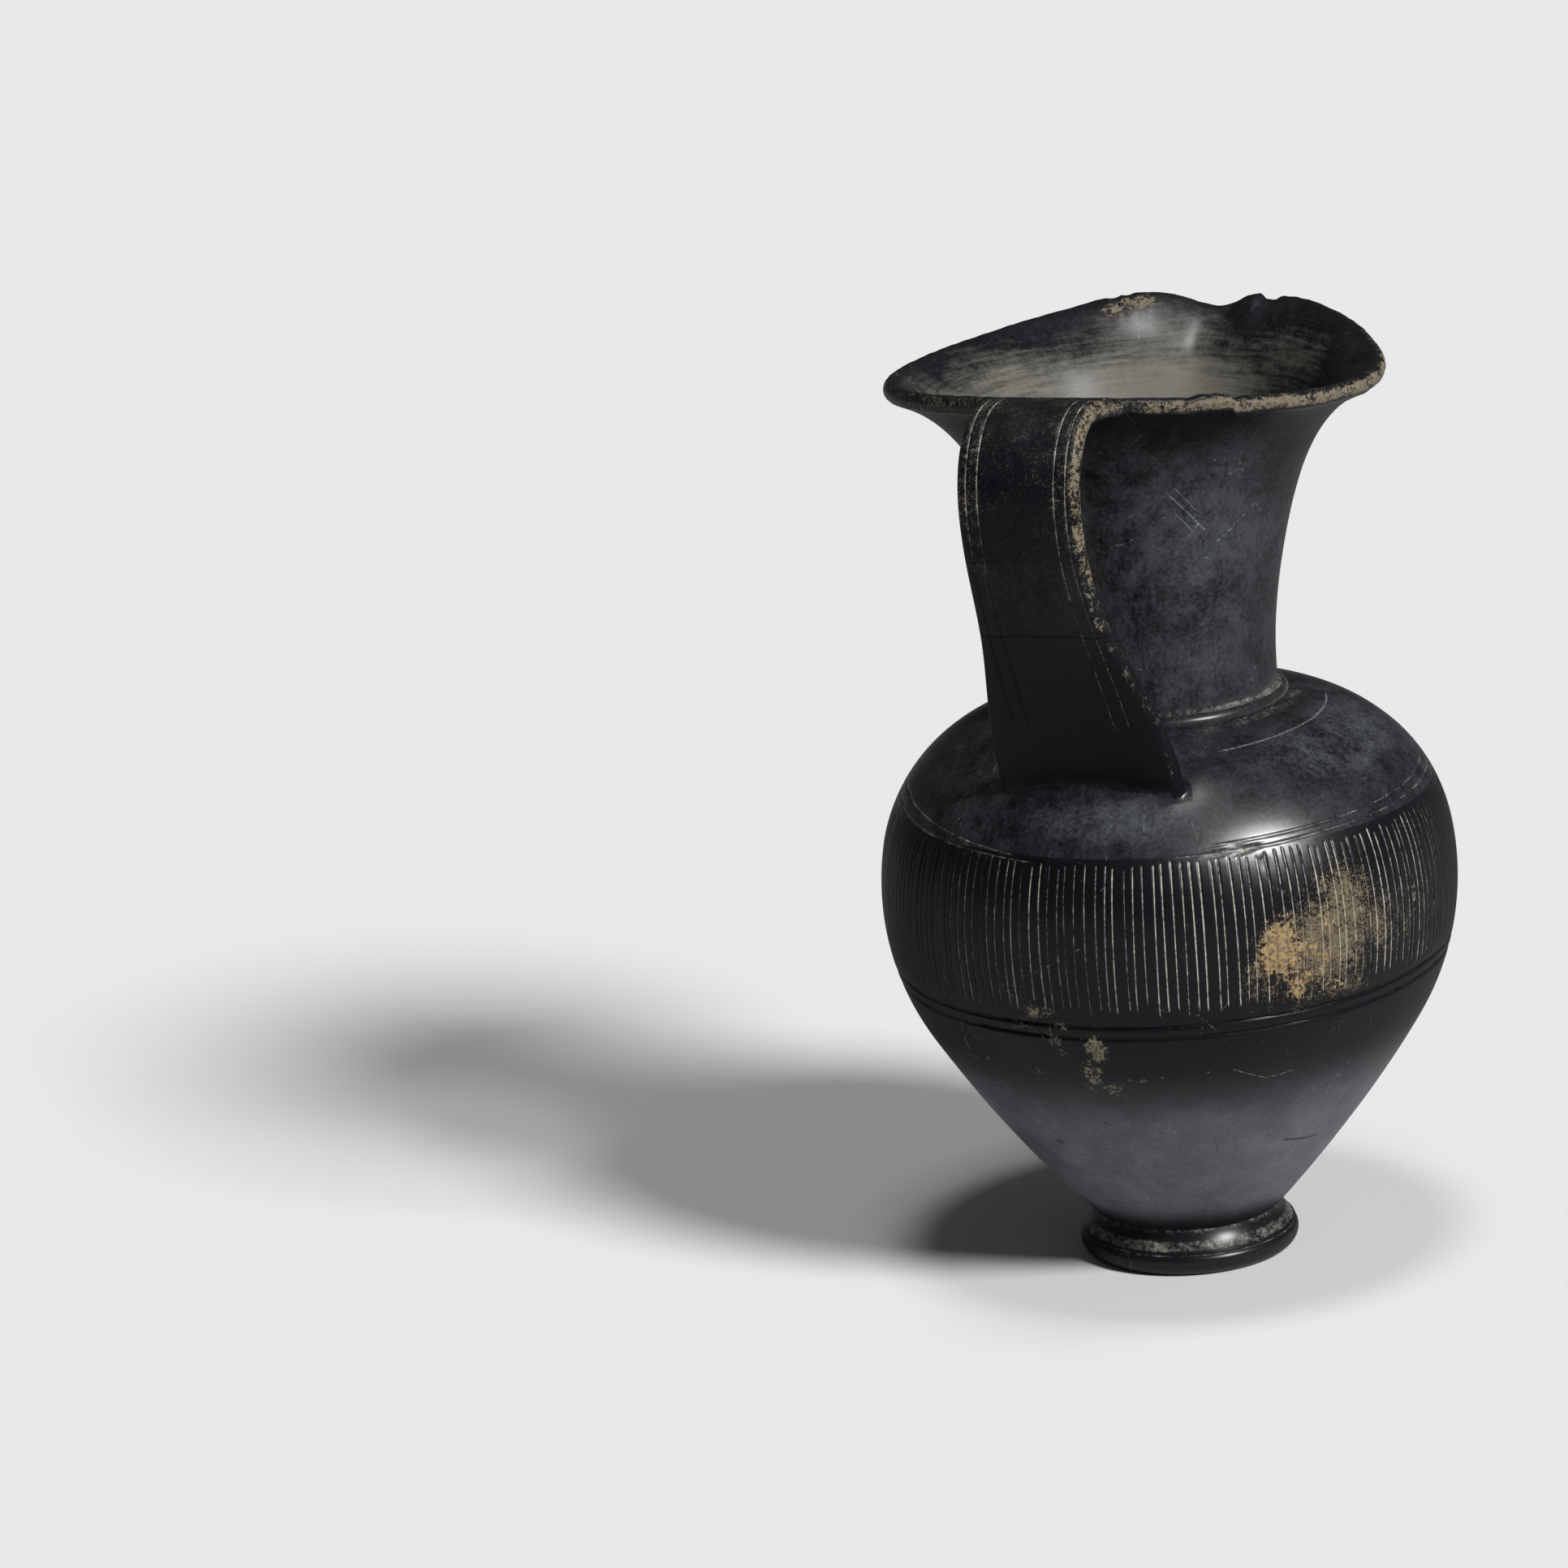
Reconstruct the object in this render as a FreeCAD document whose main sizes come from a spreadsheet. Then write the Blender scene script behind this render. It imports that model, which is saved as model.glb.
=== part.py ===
"""Oinochoe: a burnished black clay wine jug, thrown and fired as one piece.

Millimetres. Z is up from the flat underside of the foot. The handle and the spout lie in the XZ plane, with the
handle towards -X and the spout towards +X.
"""
import FreeCAD, Part
import math
import os

import Sketcher

from FreeCAD import Vector

# The sizes that can be changed, each written once: the name, its value, and what it measures
SIZES = [
    ("foot_radius", 34.6, "widest reach of the foot's rounded edge"),
    ("foot_height", 7.4, "top of the foot's rounded edge"),
    ("foot_set_in", 3.4, "how far the foot's resting face stays inside its edge"),
    ("waist_radius", 29.3, "narrow place between the foot and the wall"),
    ("waist_height", 14.0, "height of that narrow place"),
    ("belly_radius", 90.0, "widest reach of the wall"),
    ("belly_height", 118.0, "height of the widest place"),
    ("belly_curve", 83.5, "radius of the wall's curve round the widest place"),
    ("lower_curve", 398.0, "radius of the long shallow curve from the waist up to it"),
    ("shoulder_height", 178.2, "where the shoulder meets the neck ring"),
    ("ring_radius", 40.2, "where the neck ring starts on the shoulder"),
    ("ring_height", 3.8, "height of the neck ring"),
    ("ring_swell", 1.5, "how far the neck ring rolls out past its two edges"),
    ("neck_radius", 37.1, "the neck at its narrowest, just over the ring"),
    ("neck_spread", 12.2, "how far the neck widens up to the flare"),
    ("wall", 4.8, "thickness of the wall"),
    ("floor_wall", 8.5, "thickness of the clay under the cavity"),
    ("mouth_height", 30.3, "height of the flaring mouth, from the top of the turned neck to the lip"),
    ("mouth_overlap", 14.0, "how far the mouth's wall starts below the top of the turned neck"),
    ("rim_radius", 75.0, "mean reach of the lip from the axis"),
    ("rim_pull", 1.65, "how much further the lip reaches at the spout than at the handle, halved"),
    ("rim_pinch", 1.1, "how much the mouth is wider from side to side than from front to back, halved"),
    ("lobe_depth", 2.95, "how far the three lobes of the mouth stand out and in"),
    ("rim_height", 286.3, "mean height of the lip's top"),
    ("rim_tilt", 1.65, "how much the spout stands over the handle side, halved"),
    ("rim_wave", 3.05, "rise and fall of the lip, twice round the mouth"),
    ("spout_dip", 5.5, "dip of the lip at the spout"),
    ("spout_half", 10.0, "half the angle of that dip, in degrees"),
    ("lip_thick", 5.6, "thickness of the lip"),
    ("strap_thick", 6.6, "thickness of the handle's strap"),
    ("strap_width", 37.5, "width of the strap along its upper part"),
    ("strap_root", 58.0, "width of the strap where it grows out of the shoulder"),
    ("root_share", 0.21, "share of the strap's length over which that root spreads"),
    ("strap_reach", 104.0, "how far the strap's middle stands from the axis"),
    ("strap_crest", 3.6, "how far the strap's middle rises over the lip it springs from"),
    ("strap_lean", 4.0, "how far the top of the strap has drifted to the left of its root"),
    ("groove_high", 99.2, "height of the upper of the two grooves under the frieze"),
    ("groove_low", 95.2, "height of the lower one"),
    ("groove_width", 1.5, "width of these grooves"),
    ("line_high", 154.6, "height of the upper of the two fine lines over the frieze"),
    ("line_low", 151.6, "height of the lower one"),
    ("line_width", 0.9, "width of these lines"),
    ("foot_line", 0.8, "width of the line round the top of the foot's edge"),
]

# Places on the outline that follow from the sizes
DERIVED = [
    ("foot_rest", "foot_radius - foot_set_in"),
    ("foot_edge", "foot_radius - 0.9"),
    ("low_radius", "waist_radius + (belly_radius - waist_radius) * 0.787"),
    ("low_height", "waist_height + (belly_height - waist_height) * 0.603"),
    ("high_radius", "belly_radius - 2"),
    ("high_height", "belly_height + (shoulder_height - belly_height) * 0.304"),
    ("ring_top", "shoulder_height + ring_height"),
    ("flare_radius", "neck_radius + neck_spread"),
    ("flare_height", "rim_height - mouth_height"),
    ("hollow_floor", "floor_wall"),
    ("hollow_waist", "waist_radius - wall - 4"),
    ("hollow_low_radius", "low_radius - wall * 0.8"),
    ("hollow_low_height", "low_height + wall * 0.6"),
    ("hollow_high_radius", "high_radius - wall * 0.96"),
    ("hollow_high_height", "high_height - wall * 0.26"),
    ("hollow_curve", "belly_curve - wall"),
    ("hollow_neck", "neck_radius - wall"),
    ("hollow_shoulder", "shoulder_height - wall"),
    ("hollow_flare", "flare_radius - wall / 3"),
    ("hollow_top", "flare_height + 1"),
]

RING_POINTS = 16
FLARE_SHARES = (0.3, 0.55, 0.8)


def make_sheet(doc):
    """Fill the spreadsheet with the sizes and what follows from them."""
    sheet = doc.addObject("Spreadsheet::Sheet", "sizes")
    row = 0
    for name, value, note in SIZES:
        row += 1
        sheet.set(f"A{row}", name)
        sheet.set(f"B{row}", str(value))
        sheet.set(f"C{row}", note)
        sheet.setAlias(f"B{row}", name)
    for name, formula in DERIVED:
        row += 1
        sheet.set(f"A{row}", name)
        sheet.set(f"B{row}", "=" + formula)
        sheet.setAlias(f"B{row}", name)
    doc.recompute()
    return sheet


class Outline:
    """A closed outline in the XZ plane whose corners are held by cells of the sheet."""

    def __init__(self, body, sheet, name):
        self.sheet = sheet
        self.sketch = body.newObject("Sketcher::SketchObject", name)
        plane = next(item for item in body.Origin.OriginFeatures if item.Role == "XZ_Plane")
        self.sketch.AttachmentSupport = [(plane, "")]
        self.sketch.MapMode = "FlatFace"
        self.edges = []

    def read(self, value):
        """A number as it is, or the sum or difference of cells that a text such as "high + width" names."""
        if not isinstance(value, str):
            return value
        first, *rest = value.split()
        total = getattr(self.sheet, first)
        for sign, name in zip(rest[::2], rest[1::2]):
            total += getattr(self.sheet, name) if sign == "+" else -getattr(self.sheet, name)
        return total

    def place(self, corner):
        """The point of a corner, given as a pair of numbers or cells."""
        return Vector(self.read(corner[0]), self.read(corner[1]), 0)

    def hold(self, kind, value, *where):
        """Hold one distance of the sketch at a number or at the sheet's cells."""
        index = self.sketch.addConstraint(Sketcher.Constraint(kind, *where, self.read(value)))
        if isinstance(value, str):
            formula = " ".join(word if word in "+-" else f"sizes.{word}" for word in value.split())
            self.sketch.setExpression(f"Constraints[{index}]", formula)

    def pin(self, edge, end, corner):
        """Hold one end of an edge at a corner."""
        self.hold("DistanceX", corner[0], -1, 1, edge, end)
        self.hold("DistanceY", corner[1], -1, 1, edge, end)

    def start(self, corner):
        """Begin the outline at a corner."""
        self.first = corner
        self.last = corner

    def line(self, corner):
        """A straight edge to the next corner."""
        edge = self.sketch.addGeometry(Part.LineSegment(self.place(self.last), self.place(corner)), False)
        self.join(edge, corner, 1, 2)

    def arc(self, bulge, corner, radius=None, tangent=False):
        """An arc to the next corner that bows out by about bulge to the right of its way, or left if negative."""
        begin = self.place(self.last)
        end = self.place(corner)
        way = end - begin
        half = way.Length / 2
        size = (half ** 2 + bulge ** 2) / (2 * abs(bulge))
        left = Vector(-way.y, way.x, 0).normalize() * math.copysign(1, bulge)
        middle = (begin + end) * 0.5 + left * (size - abs(bulge))
        first, second = (1, 2) if bulge > 0 else (2, 1)
        near, far = (begin, end) if bulge > 0 else (end, begin)
        from_angle = math.atan2(near.y - middle.y, near.x - middle.x)
        to_angle = math.atan2(far.y - middle.y, far.x - middle.x)
        circle = Part.Circle(middle, Vector(0, 0, 1), size)
        edge = self.sketch.addGeometry(Part.ArcOfCircle(circle, from_angle, to_angle), False)
        if tangent:
            before, end_before = self.edges[-1]
            self.sketch.addConstraint(Sketcher.Constraint("Tangent", before, end_before, edge, first))
        self.join(edge, corner, first, second, joined=tangent)
        if radius is not None:
            self.hold("Radius", radius, edge)

    def join(self, edge, corner, first, second, joined=False):
        """Tie an edge to the one before it and to its own far corner."""
        if not self.edges:
            self.pin(edge, first, self.first)
        elif not joined:
            before, end_before = self.edges[-1]
            self.sketch.addConstraint(Sketcher.Constraint("Coincident", before, end_before, edge, first))
        if corner is self.first:
            start_edge = self.edges[0][0]
            start_end = 1 if self.edges[0][1] == 2 else 2
            self.sketch.addConstraint(Sketcher.Constraint("Coincident", edge, second, start_edge, start_end))
        else:
            self.pin(edge, second, corner)
        self.edges.append((edge, second))
        self.last = corner

    def close(self):
        """A straight edge back to the first corner."""
        self.line(self.first)
        return self.sketch


def turn(body, kind, name, sketch):
    """A full turn of a sketch round the upright axis: added with Revolution, cut with Groove."""
    feature = body.newObject(kind, name)
    feature.Profile = sketch
    feature.ReferenceAxis = (sketch, ["V_Axis"])
    feature.Angle = 360
    body.Document.recompute()
    return feature


def outer_outline(body, sheet):
    """The jug's outside, from the resting face up to the start of the flare."""
    outline = Outline(body, sheet, "outside")
    outline.start((0, 0))
    outline.line(("foot_rest", 0))
    outline.arc(1.6, ("foot_edge", "foot_height"))
    outline.line(("waist_radius", "waist_height"))
    outline.arc(1.9, ("low_radius", "low_height"), radius="lower_curve")
    outline.arc(5.6, ("high_radius", "high_height"), radius="belly_curve")
    outline.arc(11.0, ("ring_radius", "shoulder_height"), tangent=True)
    outline.arc(sheet.ring_swell, ("neck_radius", "ring_top"))
    outline.arc(-3.2, ("flare_radius", "flare_height"))
    outline.line((0, "flare_height"))
    return outline.close()


def hollow_outline(body, sheet):
    """The cavity, a wall's thickness inside the outline, open at the top."""
    outline = Outline(body, sheet, "inside")
    outline.start((0, "hollow_floor"))
    outline.arc(2.0, ("hollow_waist", "waist_height"))
    outline.arc(1.9, ("hollow_low_radius", "hollow_low_height"))
    outline.arc(5.6, ("hollow_high_radius", "hollow_high_height"), radius="hollow_curve")
    outline.arc(11.0, ("hollow_neck", "hollow_shoulder"))
    outline.arc(-5.5, ("hollow_flare", "hollow_top"))
    outline.line((0, "hollow_top"))
    return outline.close()


def outline_radius(body_shape, height):
    """The jug's outer radius at a height, read on its own outside."""
    reach = body_shape.BoundBox.DiagonalLength
    probe = Part.makeLine(Vector(0, 0, height), Vector(reach, 0, height))
    return probe.common(body_shape).BoundBox.XMax


def cut_ring(body, name, height, width, solid):
    """One incised ring: a shallow pointed groove at a height of the wall, both held by cells of the sheet."""
    sheet = body.Document.sizes
    middle = getattr(sheet, height)
    half = getattr(sheet, width) / 2
    wall_radius = outline_radius(solid, middle)
    groove = Outline(body, sheet, name + "_section")
    groove.start((wall_radius - half, height))
    groove.line((wall_radius + 3 * half, f"{height} + {width} + {width}"))
    groove.line((wall_radius + 3 * half, f"{height} - {width} - {width}"))
    turn(body, "PartDesign::Groove", name, groove.close())


def rim_at(sheet, angle):
    """Reach and height of the lip at an angle from the spout, in radians.

    Three lobes in plan, the lip high at the spout and the handle and low at the sides, with a dip where it pours.
    """
    dip = sheet.spout_dip * math.exp(-((math.degrees(angle) / sheet.spout_half) ** 2))
    reach = sheet.rim_radius + sheet.rim_pull * math.cos(angle) - sheet.rim_pinch * math.cos(2 * angle)
    reach += sheet.lobe_depth * math.cos(3 * angle)
    height = sheet.rim_height + sheet.rim_tilt * math.cos(angle) + sheet.rim_wave * math.cos(2 * angle) - dip
    return reach, height


def flare_point(sheet, root, angle, share, aside, ahead=0.0):
    """A point of the flaring mouth in its own upright plane.

    share runs from 0 at the root, the middle of the neck's wall, to 1 at the lip. aside is the distance from the
    middle of the mouth's wall, outwards, and ahead the distance past its end.
    """
    reach, height = rim_at(sheet, angle)
    lip = sheet.lip_thick / 2
    spread = reach - lip - root[0]
    rise = height - lip - root[1]
    bends = [(0.0, 0.0), (0.13, 0.45), (0.40, 0.82), (1.0, 1.0)]
    rest = 1 - share
    weights = (rest ** 3, 3 * share * rest ** 2, 3 * share ** 2 * rest, share ** 3)
    slopes = (-3 * rest ** 2, 3 * rest ** 2 - 6 * share * rest, 6 * share * rest - 3 * share ** 2, 3 * share ** 2)
    across = root[0] + spread * sum(weight * bend[0] for weight, bend in zip(weights, bends))
    up = root[1] + rise * sum(weight * bend[1] for weight, bend in zip(weights, bends))
    go_out = spread * sum(slope * bend[0] for slope, bend in zip(slopes, bends))
    go_up = rise * sum(slope * bend[1] for slope, bend in zip(slopes, bends))
    way = Vector(go_out, go_up, 0).normalize()
    across += way.y * aside + way.x * ahead
    up += -way.x * aside + way.y * ahead
    return Vector(across * math.cos(angle), across * math.sin(angle), up)


def mouth_ring(sheet, root, share, aside, ahead=0.0):
    """The control points of one closed row round the mouth, at the same share of the flare all round."""
    step = 2 * math.pi / RING_POINTS
    draw_in = 3 / (2 + math.cos(step))
    points = []
    for index in range(RING_POINTS):
        angle = index * step
        if angle > math.pi:
            angle -= 2 * math.pi
        point = flare_point(sheet, root, angle, share, aside, ahead)
        points.append(Vector(point.x * draw_in, point.y * draw_in, point.z))
    return points


def skin(rows):
    """A smooth skin over rows of control points, each row closed on itself, and its first and last edges."""
    around = len(rows[0])
    spans = len(rows) - 3
    surface = Part.BSplineSurface()
    surface.buildFromPolesMultsKnots(
        [[row[index] for row in rows] for index in range(around)],
        [1] * (around + 1),
        [4] + [1] * (spans - 1) + [4],
        list(range(around + 1)),
        list(range(spans + 1)),
        True,
        False,
        3,
        3,
    )
    return surface.toShape(), surface.vIso(0).toShape(), surface.vIso(spans).toShape()


def solid_of(faces):
    """The closed solid that the faces bound, the right way out."""
    shell = Part.makeShell(faces)
    shell.sewShape()
    solid = Part.makeSolid(shell)
    if solid.Volume < 0:
        solid.reverse()
    return solid


def make_mouth(doc, sheet, vessel, hollow):
    """The trefoil mouth: one skin up its outside, over the rounded lip and down its inside."""
    height = sheet.flare_height - sheet.mouth_overlap
    outer = outline_radius(vessel.Shape, height)
    inner = outline_radius(hollow.Shape, height)
    root = ((outer + inner) / 2, height)
    buried = (outer - inner) * 0.3
    half = sheet.lip_thick / 2
    thin = sheet.wall / 2
    over = 1.3 * half
    rows = [mouth_ring(sheet, root, 0.0, buried)]
    rows += [mouth_ring(sheet, root, share, thin) for share in FLARE_SHARES]
    rows += [mouth_ring(sheet, root, 1.0, half), mouth_ring(sheet, root, 1.0, half, over)]
    rows += [mouth_ring(sheet, root, 1.0, -half, over), mouth_ring(sheet, root, 1.0, -half)]
    rows += [mouth_ring(sheet, root, share, -thin) for share in reversed(FLARE_SHARES)]
    rows += [mouth_ring(sheet, root, 0.0, -buried)]
    wall, outer_edge, inner_edge = skin(rows)
    mouth = doc.addObject("Part::Feature", "mouth")
    mouth.Shape = solid_of([wall, Part.makeRuledSurface(outer_edge, inner_edge)])
    return mouth


def strap_route(sheet):
    """The middle line of the handle, from inside the shoulder up and over to the lip, as reach and height."""
    reach, height = rim_at(sheet, math.pi)
    root_reach = sheet.ring_radius + 21
    root_height = sheet.shoulder_height - 17
    out = sheet.strap_reach
    top = height - sheet.strap_thick / 2 + sheet.strap_crest
    end = (reach - sheet.lip_thick, height - sheet.lip_thick / 2 - 1.2)
    rise = top - root_height
    return [
        (root_reach, root_height),
        (root_reach + 0.22 * (out - root_reach), root_height + 0.19 * rise),
        (root_reach + 0.56 * (out - root_reach), root_height + 0.40 * rise),
        (root_reach + 0.87 * (out - root_reach), root_height + 0.61 * rise),
        (out, root_height + 0.82 * rise),
        (out - 0.20 * (out - end[0]), root_height + 0.965 * rise),
        (out - 0.55 * (out - end[0]), top),
        end,
    ]


def strap_row(centre, outward, width, thick, drift):
    """The control points of one section of the strap, with flat faces and full round edges."""
    half_width = width / 2
    half_thick = thick / 2
    flat = half_width - half_thick
    corners = [
        (half_width + 0.3, 0.0),
        (half_width + 0.1, 1.0),
        (flat, 1.12),
        (flat * 0.4, 1.0),
        (-flat * 0.4, 1.0),
        (-flat, 1.12),
        (-half_width - 0.1, 1.0),
        (-half_width - 0.3, 0.0),
        (-half_width - 0.1, -1.0),
        (-flat, -1.12),
        (flat, -1.12),
        (half_width + 0.1, -1.0),
    ]
    return [centre + Vector(0, side + drift, 0) + outward * (rise * half_thick) for side, rise in corners]


def make_strap(doc, sheet):
    """The strap handle: one skin along its route, widening into the shoulder."""
    route = strap_route(sheet)
    last = len(route) - 1
    rows = []
    for index, (reach, height) in enumerate(route):
        before = route[max(index - 1, 0)]
        after = route[min(index + 1, last)]
        go = Vector(before[0] - after[0], 0, after[1] - before[1]).normalize()
        outward = Vector(-go.z, 0, go.x)
        share = index / last
        swell = math.exp(-((share / sheet.root_share) ** 2))
        width = sheet.strap_width + (sheet.strap_root - sheet.strap_width) * swell
        drift = sheet.strap_lean * math.sin(0.5 * math.pi * min(1.0, share * 1.6))
        thick = sheet.strap_thick if index < last else sheet.lip_thick * 0.7
        rows.append(strap_row(Vector(-reach, 0, height), outward, width, thick, drift))
    side, root_edge, lip_edge = skin(rows)
    strap = doc.addObject("Part::Feature", "strap")
    strap.Shape = solid_of([side, Part.Face(Part.Wire([root_edge])), Part.Face(Part.Wire([lip_edge]))])
    return strap


def make_vessel(doc, sheet):
    """Foot, belly, shoulder, neck ring and neck: one turned body, with its incised rings."""
    body = doc.addObject("PartDesign::Body", "vessel")
    turned = turn(body, "PartDesign::Revolution", "turned", outer_outline(body, sheet))
    plain = turned.Shape.copy()
    cut_ring(body, "upper_groove", "groove_high", "groove_width", plain)
    cut_ring(body, "lower_groove", "groove_low", "groove_width", plain)
    cut_ring(body, "upper_line", "line_high", "line_width", plain)
    cut_ring(body, "lower_line", "line_low", "line_width", plain)
    cut_ring(body, "foot_groove", "foot_height", "foot_line", plain)
    return body


def make_hollow(doc, sheet):
    """The cavity as a body of its own, taken out of the jug once the handle is on."""
    body = doc.addObject("PartDesign::Body", "hollow")
    turn(body, "PartDesign::Revolution", "turned_hollow", hollow_outline(body, sheet))
    return body


def join_jug(doc, vessel, strap, hollow, mouth):
    """One piece of clay: vessel and strap, hollowed, with the mouth on the neck."""
    solid = doc.addObject("Part::Fuse", "solid_jug")
    solid.Base = vessel
    solid.Tool = strap
    hollowed = doc.addObject("Part::Cut", "hollowed_jug")
    hollowed.Base = solid
    hollowed.Tool = hollow
    jug = doc.addObject("Part::Fuse", "oinochoe")
    jug.Base = hollowed
    jug.Tool = mouth
    jug.Label = "oinochoe"
    doc.recompute()
    return jug


def check(doc, jug):
    """Stop if anything failed to build or the jug isn't one sound solid."""
    for item in doc.Objects:
        if "Invalid" in item.State or "Error" in item.State:
            raise RuntimeError(f"{item.Name} failed: {item.State}")
    shape = jug.Shape
    if shape.isNull() or not shape.isValid():
        raise RuntimeError("the jug's shape isn't valid")
    if len(shape.Solids) != 1:
        raise RuntimeError(f"the jug has {len(shape.Solids)} solids")


def main():
    """Build the jug and write its STEP file."""
    doc = FreeCAD.newDocument("oinochoe")
    sheet = make_sheet(doc)
    vessel = make_vessel(doc, sheet)
    strap = make_strap(doc, sheet)
    hollow = make_hollow(doc, sheet)
    mouth = make_mouth(doc, sheet, vessel, hollow)
    jug = join_jug(doc, vessel, strap, hollow, mouth)
    check(doc, jug)
    os.makedirs("parts", exist_ok=True)
    jug.Shape.exportStep("parts/oinochoe.step")
    box = jug.Shape.BoundBox
    print(f"oinochoe: {len(jug.Shape.Faces)} faces, {jug.Shape.Volume / 1000:.0f} cm3")
    print(f"box {box.XMin:.1f} {box.YMin:.1f} {box.ZMin:.1f} to {box.XMax:.1f} {box.YMax:.1f} {box.ZMax:.1f}")


main()
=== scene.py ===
"""Oinochoe: a burnished black clay jug with a trefoil mouth and a strap handle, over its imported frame.

Lengths are in millimetres until a mesh is finished. Angles in the plan are counted from the spout, which is
at +X, with the handle at -X. The frame is in metres.
"""

import logging
import math
from dataclasses import dataclass, field, replace
from enum import Enum
from typing import Any, Sequence, Union

import bpy
import numpy as np
from mathutils import Matrix, Vector, kdtree, noise

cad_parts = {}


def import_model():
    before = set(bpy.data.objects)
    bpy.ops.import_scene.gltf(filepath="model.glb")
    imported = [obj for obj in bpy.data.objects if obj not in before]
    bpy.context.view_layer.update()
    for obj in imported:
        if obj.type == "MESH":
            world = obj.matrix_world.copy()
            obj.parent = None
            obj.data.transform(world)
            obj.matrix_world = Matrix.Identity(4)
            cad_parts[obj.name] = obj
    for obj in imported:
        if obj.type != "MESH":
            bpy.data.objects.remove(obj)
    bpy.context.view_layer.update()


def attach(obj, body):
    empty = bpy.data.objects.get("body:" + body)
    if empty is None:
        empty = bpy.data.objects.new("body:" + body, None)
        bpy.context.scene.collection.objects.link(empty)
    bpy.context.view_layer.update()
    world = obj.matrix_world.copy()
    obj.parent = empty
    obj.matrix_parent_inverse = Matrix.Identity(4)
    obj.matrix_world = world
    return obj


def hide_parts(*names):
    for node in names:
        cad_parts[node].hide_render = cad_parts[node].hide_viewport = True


MM = 0.001
BODY = "root"
NODE = "oinochoe"
COLUMNS = 92
WELD = 1e-6
SHARP_DEGREES = 60.0

log = logging.getLogger("oinochoe")


class Zone(Enum):
    """The stretches of the jug's wall, from the foot up the outside, over the lip and down the inside."""

    FOOT = "foot"
    LOWER = "lower wall"
    FRIEZE = "frieze"
    SHOULDER = "shoulder"
    RING = "neck ring"
    NECK = "neck"
    FLARE = "flare"
    LIP = "lip"
    INSIDE = "inside"


class Mark(Enum):
    """What the surface carries, kept as a value from 0 to 1 on every vertex."""

    DUST = "dust"
    # Grey haze of the clay, and on the lower wall a painted sheen: the pale floor's reflection painted into
    # the colour.
    BLOOM = "haze_and_sheen"
    WORN = "worn"
    SPECK = "speck"
    CRUST = "crust"
    INNER = "inner"
    GLOSS = "gloss"
    STRAP = "strap"


@dataclass(frozen=True)
class Row:
    """One ring of the wall, turned at a radius and height or pressed at a share of the mouth's flare."""

    zone: Zone
    cuts: int = 1
    radius: float = 0.0
    height: float = 0.0
    share: float = 0.0
    aside: float = 0.0
    ahead: float = 0.0
    pressed: bool = False


def bell(value: float, width: float) -> float:
    """A bell curve of height 1 and the given half width."""
    return math.exp(-((value / width) ** 2))


def between(value: float, low: float, high: float) -> float:
    """A smooth step from 0 at low to 1 at high."""
    share = min(1.0, max(0.0, (value - low) / (high - low)))
    return share * share * (3 - 2 * share)


def turn_between(first: float, second: float) -> float:
    """The signed difference of two angles in degrees, within half a turn."""
    return (first - second + 180.0) % 360.0 - 180.0


def arc_points(start: tuple, end: tuple, bulge: float, count: int) -> list[tuple]:
    """Points along an arc that bows out to the right of its way.

    Args:
        start: Radius and height where it begins.
        end: Radius and height where it ends.
        bulge: How far the arc stands off its chord, negative for a hollow one.
        count: How many stretches it is divided into.

    Returns:
        The points after the start, up to and with the end.
    """
    begin, finish = np.array(start, float), np.array(end, float)
    way = finish - begin
    half = np.hypot(*way) / 2
    size = (half**2 + bulge**2) / (2 * abs(bulge))
    left = np.array([-way[1], way[0]]) / (2 * half) * math.copysign(1, bulge)
    centre = (begin + finish) / 2 + left * (size - abs(bulge))
    first = math.atan2(begin[1] - centre[1], begin[0] - centre[0])
    last = math.atan2(finish[1] - centre[1], finish[0] - centre[0])
    sweep = (last - first + math.pi) % (2 * math.pi) - math.pi
    angles = [first + sweep * step / count for step in range(1, count + 1)]
    return [(centre[0] + size * math.cos(a), centre[1] + size * math.sin(a)) for a in angles]


@dataclass(frozen=True)
class Rim:
    """The line of the lip's top: its reach and height at any angle from the spout."""

    reach: float = 75.0
    pull: float = 1.65
    pinch: float = 1.1
    lobes: float = 2.95
    corners: float = 0.8
    height: float = 286.3
    tilt: float = 1.65
    wave: float = 3.05
    dip: float = 5.5
    dip_half: float = 10.0
    thick: float = 5.6

    def at(self, angle: float) -> tuple[float, float]:
        """Reach and height of the lip's top.

        Args:
            angle: From the spout, in radians.

        Returns:
            The outermost reach and the highest point there.
        """
        pour = self.dip * bell(math.degrees(angle), self.dip_half)
        reach = self.reach + self.pull * math.cos(angle) - self.pinch * math.cos(2 * angle)
        reach += self.lobes * math.cos(3 * angle) + self.corners * math.cos(4 * angle)
        height = self.height + self.tilt * math.cos(angle) + self.wave * math.cos(2 * angle) - pour
        return reach, height


@dataclass(frozen=True)
class Chip:
    """A broken, dented or swollen place of the lip."""

    angle: float
    half_angle: float
    depth: float
    rise: float = 0.0
    sharp: float = 4.0
    ragged: float = 0.35


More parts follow.
